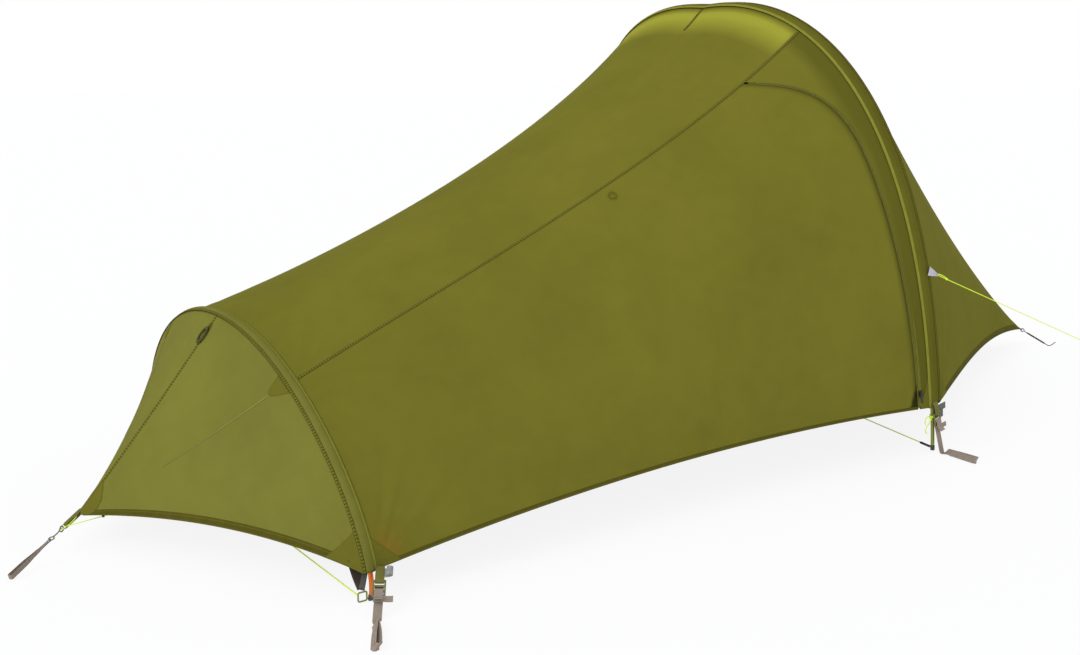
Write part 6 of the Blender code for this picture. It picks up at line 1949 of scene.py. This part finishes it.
# %% Vent loop and tie-back ring
nose_shape = nose_panel()
vent_spot = nose_shape(0.10, 0.0)
vent_down = unit(nose_shape(0.16, 0.0) - nose_shape(0.06, 0.0))
vent_out = unit(np.cross(point(0, 1, 0), vent_down))
vent_out = vent_out if vent_out[2] > 0 else -vent_out
ring("vent_cord_loop", vent_spot + vent_out * 0.0037, vent_down, point(0, 1, 0), 0.0100, 0.0042,
     loop_braid, "tent", "cord_black", ["vent_loop"], squeeze=1.6)
patch_rows = []
for across in np.linspace(-1, 1, 9):
    lift = vent_out * (0.0016 - 0.0016 * abs(across))
    patch_rows.append([vent_spot + vent_down * a + point(0, 1, 0) * across * w + lift for a, w in (
        (-0.030, 0.004), (-0.024, 0.0085), (-0.016, 0.0095), (-0.008, 0.0090), (-0.004, 0.006))])
settle(band("vent_patch", patch_rows, hem_finish, 0.0006, vent_out), "tent", "fly_cloth")

tie_spot = near_wall(0.560, 0.045)
tie_u = unit(near_wall(0.580, 0.045) - tie_spot)
tie_v = unit(near_wall(0.560, 0.09) - tie_spot)
tie_out = unit(np.cross(tie_u, tie_v))
tie_out = tie_out if tie_out[1] < 0 else -tie_out
tie_v = unit(np.cross(tie_u, tie_out))
ring("tie_back_cord_ring", tie_spot + tie_out * 0.0045, tie_u, tie_v, 0.0080, 0.0020, sleeve_finish, "tent",
     "sleeve_cloth", ["tie_back_ring"])
print("vent loop at", [round(float(c), 3) for c in vent_spot])

# %% [markdown]
# At the two near poles a few small things show in the picture: a plain grey label, a lime knot
# with two loose ends round the green pole, a grey tab, and at the low arch the inner tent's
# gusset behind the orange pole.

# %% Small things at the near poles
def leg_spot(arch, height, headward=0.0, outward=0.0):
    return arch.beside(arch.where_height(height), headward, outward)


around = []
for a in np.linspace(0, 4 * pi, 49):
    around.append(leg_spot(MAIN, 0.086 + 0.0011 * a / pi, 0.0056 * cos(a), 0.0056 * sin(a)))
thin_cord("pole_hitch", around, HITCH_CORD)
hitch_knot = leg_spot(MAIN, 0.088, -0.0115, 0.004)
knot("pole_hitch_knot", hitch_knot, 0.0050, MAIN.headward, HITCH_CORD)
for name, steps in (
        ("hitch_end_upper", ((0.0, 0.0), (-0.008, 0.007), (-0.017, 0.008), (-0.022, 0.001),
                             (-0.019, -0.008))),
        ("hitch_end_lower", ((0.0, -0.001), (-0.006, -0.009), (-0.014, -0.014), (-0.018, -0.024),
                             (-0.012, -0.032)))):
    route = [hitch_knot + MAIN.headward * a + UP * z + point(0, -0.002, 0) for a, z in steps]
    thin_cord(name, smooth_route(route, 30), HITCH_CORD)

tab_rows = [[leg_spot(MAIN, 0.104 + 0.0075 * h, 0.0075 + 0.0055 * k, 0.0060 + 0.0004 * k) for k in range(6)]
            for h in np.linspace(-1, 1, 5)]
settle(band("grey_side_tab", tab_rows, grey_webbing, 0.0014, point(0, -1, 0)), "tent", "webbing_brown")
tail_rows = [[leg_spot(MAIN, 0.097 - 0.0045 * k, 0.018 + w, 0.0075) for k in range(5)]
             for w in np.linspace(0, 0.009, 4)]
settle(band("grey_strap_end", tail_rows, grey_webbing, 0.0012, point(0, -1, 0)), "tent", "webbing_brown")

for side, flip in SIDES:
    top_a, top_b = point(-1.029, -0.398, 0.083), point(-1.010, -0.396, 0.084)
    low_a, low_b = ring_middle + point(-0.004, 0.010, 0.009), ring_middle + point(0.004, 0.010, 0.009)
    u, v = np.meshgrid(np.linspace(0, 1, 14), np.linspace(0, 1, 30))
    waist = 1 + 1.6 * v * (1 - v)
    across = (u - 0.5) * waist + 0.5
    sagged = mix(mix(top_a, top_b, across), mix(low_a, low_b, across), v) - UP * 0.010 * bow(v)
    sagged = sagged + point(-1, 0, 0) * (0.030 * (1 - v) * (1 - u))[..., None]
    made = grid_sheet("gusset_" + side, sagged * flip, inner_finish, 0.0008, side == "far")
    settle(made, "tent", "inner_cloth")
    spots = [(mix(low_b, top_b, share) + point(*moved)) * flip for share, moved in (
        (0.0, (0.0, 0.0, -0.002)), (0.3, (0.004, -0.004, 0.004)),
        (0.7, (0.010, -0.006, 0.006)), (1.0, (0.012, -0.004, -0.004)))]
    strap("gusset_strap_" + side, smooth_route(spots, 12), point(1, 0.3, 0.2) * flip, 0.0100, 0.0010,
          grey_webbing, slot="webbing_brown")

label = corner_lines["near_foot"][0]
roll = [label.place(-0.0128, 0.0045, 0.008) + label.across * a + label.face * b for a, b in (
    (0.0, 0.0), (0.006, 0.0014), (0.011, 0.0034), (0.0135, 0.0062), (0.0115, 0.0090),
    (0.0070, 0.0098), (0.0030, 0.0080))]
strap("plain_label", roll, label.down, 0.0170, 0.0006, label_tape, slot="tab_white")

# %% [markdown]
# The inner tent hangs inside the fly: a coated floor shaped like a shallow tub, walls of thin
# cloth, and a door. It shows only through the gap under the fly's hem, at one corner.

# %% Floor
def tub_outline(inset):
    """The floor's six corners, moved in from its edges."""
    drawn = []
    for i, spot in enumerate(FLOOR_CORNERS):
        before, after, here = Vector(FLOOR_CORNERS[i - 1]), Vector(FLOOR_CORNERS[(i + 1) % 6]), Vector(spot)
        a, b = (here - before).normalized(), (after - here).normalized()
        inward = Vector((-a.y - b.y, a.x + b.x))
        drawn.append(tuple(here + inward.normalized() * inset / (inward.length / 2)))
    return drawn


CORNER_CUT = 0.03


def rounded_ring(corners, height):
    """A closed line through the corners at one height, with each corner rounded."""
    ring_points = []
    for i, spot in enumerate(corners):
        here = np.array(spot)
        before, after = np.array(corners[i - 1]), np.array(corners[(i + 1) % len(corners)])
        a = here + unit(before - here) * CORNER_CUT
        b = here + unit(after - here) * CORNER_CUT
        for t in np.linspace(0, 1, 5):
            x, y = bezier((a, here, b), np.asarray(t))
            ring_points.append(point(x, y, height))
        next_cut = after + unit(here - after) * CORNER_CUT
        for t in np.linspace(0, 1, 14)[1:-1]:
            x, y = b + (next_cut - b) * t
            ring_points.append(point(x, y, height))
    return np.array(ring_points)


tub = [rounded_ring(tub_outline(inset), height) for inset, height in (
    (0.0016, 0.085), (0.0016, 0.050), (0.0016, 0.020), (0.0022, 0.008), (0.007, 0.0022),
    (0.03, 0.0010), (0.09, 0.0008))]
middle = tub[-1].mean(axis=0)
for share in (0.75, 0.5, 0.25):
    tub.append(middle + (tub[6] - middle) * share)
tub.append(middle + (tub[6] - middle) * point(0.2, 0.0, 0.0))
tub = np.array(tub)
tub = np.concatenate([tub, tub[:, :1]], axis=1)
floor_sheet = grid_sheet("floor_tub_cloth", tub, ground_cloth, 0.0012, False, tub[..., :2] + tub[..., 2:3])
settle(floor_sheet, "tent", "floor_cloth", ["floor_tub"])
print("floor of", tub.shape[1] - 1, "points round")

# %% [markdown]
# The inner walls are surfaces over four edges, like the fly, but of looser cloth. They hang a
# little inside the arches and meet the floor's tub at its upper edge.

# %% Inner walls
TUB_TOP = 0.0800


def inner_arch(arch, shift_x, far_base):
    s = arch.where_half_width(0.230)
    crown = [arch.beside(d, 0.0, -0.055) + point(shift_x, 0, 0) for d in np.linspace(s, arch.length - s, 9)]
    leg = arch.beside(arch.length - s * 0.55, 0.0, -0.055) + point(shift_x, 0, 0)
    route = smooth_route(crown + [leg, far_base], 200)
    walked = np.linspace(0, 1, 200)
    return lambda v: np.stack([np.interp(v, walked, route[:, i]) for i in range(3)], -1)


foot_near, main_near, head_near, head_far, main_far, foot_far = (
    point(x, y, TUB_TOP) for x, y in FLOOR_CORNERS)
over_foot = inner_arch(FOOT, foot_near[0] - FOOT.at(0.0)[0], foot_far)
over_main = inner_arch(MAIN, 0.0, main_far)
shoulder_foot, shoulder_main = over_foot(0.0), over_main(0.0)


def shoulder_line(u):
    return mix(shoulder_foot, shoulder_main, u) - UP * 0.020 * bow(u)


def edge_line(a, b):
    return lambda t: mix(a, b, t)


def inner_wall(u, v):
    return mix(shoulder_line(u), mix(foot_near, main_near, u), v)


def whole_main(v):
    v = numbers(v)
    return np.where((v < 0.3)[..., None], mix(main_near, shoulder_main, np.minimum(v / 0.3, 1)),
                    over_main(np.clip((v - 0.3) / 0.7, 0, 1)))


canopy = coons(shoulder_line, edge_line(foot_far, main_far), over_foot, over_main, 1.3)
foot_shape = coons(lambda u: over_foot(np.asarray(u) * 0.80), edge_line(foot_near, foot_far),
                   edge_line(shoulder_foot, foot_near), edge_line(over_foot(0.80), foot_far))
head_shape = coons(edge_line(main_near, head_near), edge_line(main_far, head_far), whole_main,
                   lambda v: bezier((head_near, head_near + UP * 0.16, head_far + UP * 0.16, head_far), v))


def drawn_in(surface, share):
    return lambda u, v: surface(share + (1 - 2 * share) * u, share + (1 - 2 * share) * v)


for name, surface, node, shift, size in (
        ("inner_canopy_cloth", drawn_in(canopy, 0.001), "inner_canopy", 0.0, (60, 80)),
        ("inner_foot_cloth", drawn_in(foot_shape, 0.003), "inner_foot_wall", -0.0018, (50, 30)),
        ("inner_head_cloth", drawn_in(head_shape, 0.002), "inner_head_wall", 0.0018, (40, 70))):
    cloth = Cloth(surface, even(size[0]), even(size[1]))
    cloth.points = cloth.points + point(shift, 0, 0)
    drape(cloth, [(cloth.points[0, 0], 0.12, 0.0010, 14), (cloth.points[0, -1], 0.12, 0.0010, 14)])
    made = grid_sheet(name, cloth.points, inner_finish, INNER_CLOTH, cloth.turned)
    settle(made, "tent", "inner_cloth", [node])
    declare_sheet(made, cloth)

print("inner walls done; meshes:", len(bpy.data.meshes))

# %% [markdown]
# The near inner wall has a doorway. The inner door closes it and swings on its own hinge.

# %% The inner wall with its door
DOORWAY = (0.56, 0.90, 0.16, 0.96)
opening = Cloth(drawn_in(inner_wall, 0.001), even(100), even(50))
column, line = np.meshgrid((np.arange(100) + 0.5) / 100, (np.arange(50) + 0.5) / 50)
solid = ~((column > DOORWAY[0]) & (column < DOORWAY[1]) & (line > DOORWAY[2]) & (line < DOORWAY[3]))
opening_sheet = grid_sheet("inner_side_cloth", opening.points, inner_finish, INNER_CLOTH, opening.turned,
                           keep=solid)
settle(opening_sheet, "tent", "inner_cloth", ["inner_near_wall"])
(across, down), area = cut_size(opening, solid)


def inner_door_shape(u, v):
    left, right, top, low = DOORWAY
    a, b = 0.006 + 0.988 * u, 0.008 + 0.984 * v
    return inner_wall(left + (right - left) * a, top + (low - top) * b)


leaf = Cloth(inner_door_shape, even(40), even(40))
leaf_sheet = cloth_sheet("inner_door_cloth", leaf, inner_finish, "inner_door_leaf", ["inner_door"],
                         slot="inner_cloth", thickness=INNER_CLOTH)
declare_sheet(leaf_sheet, leaf)
print("inner door done; meshes:", len(bpy.data.meshes))
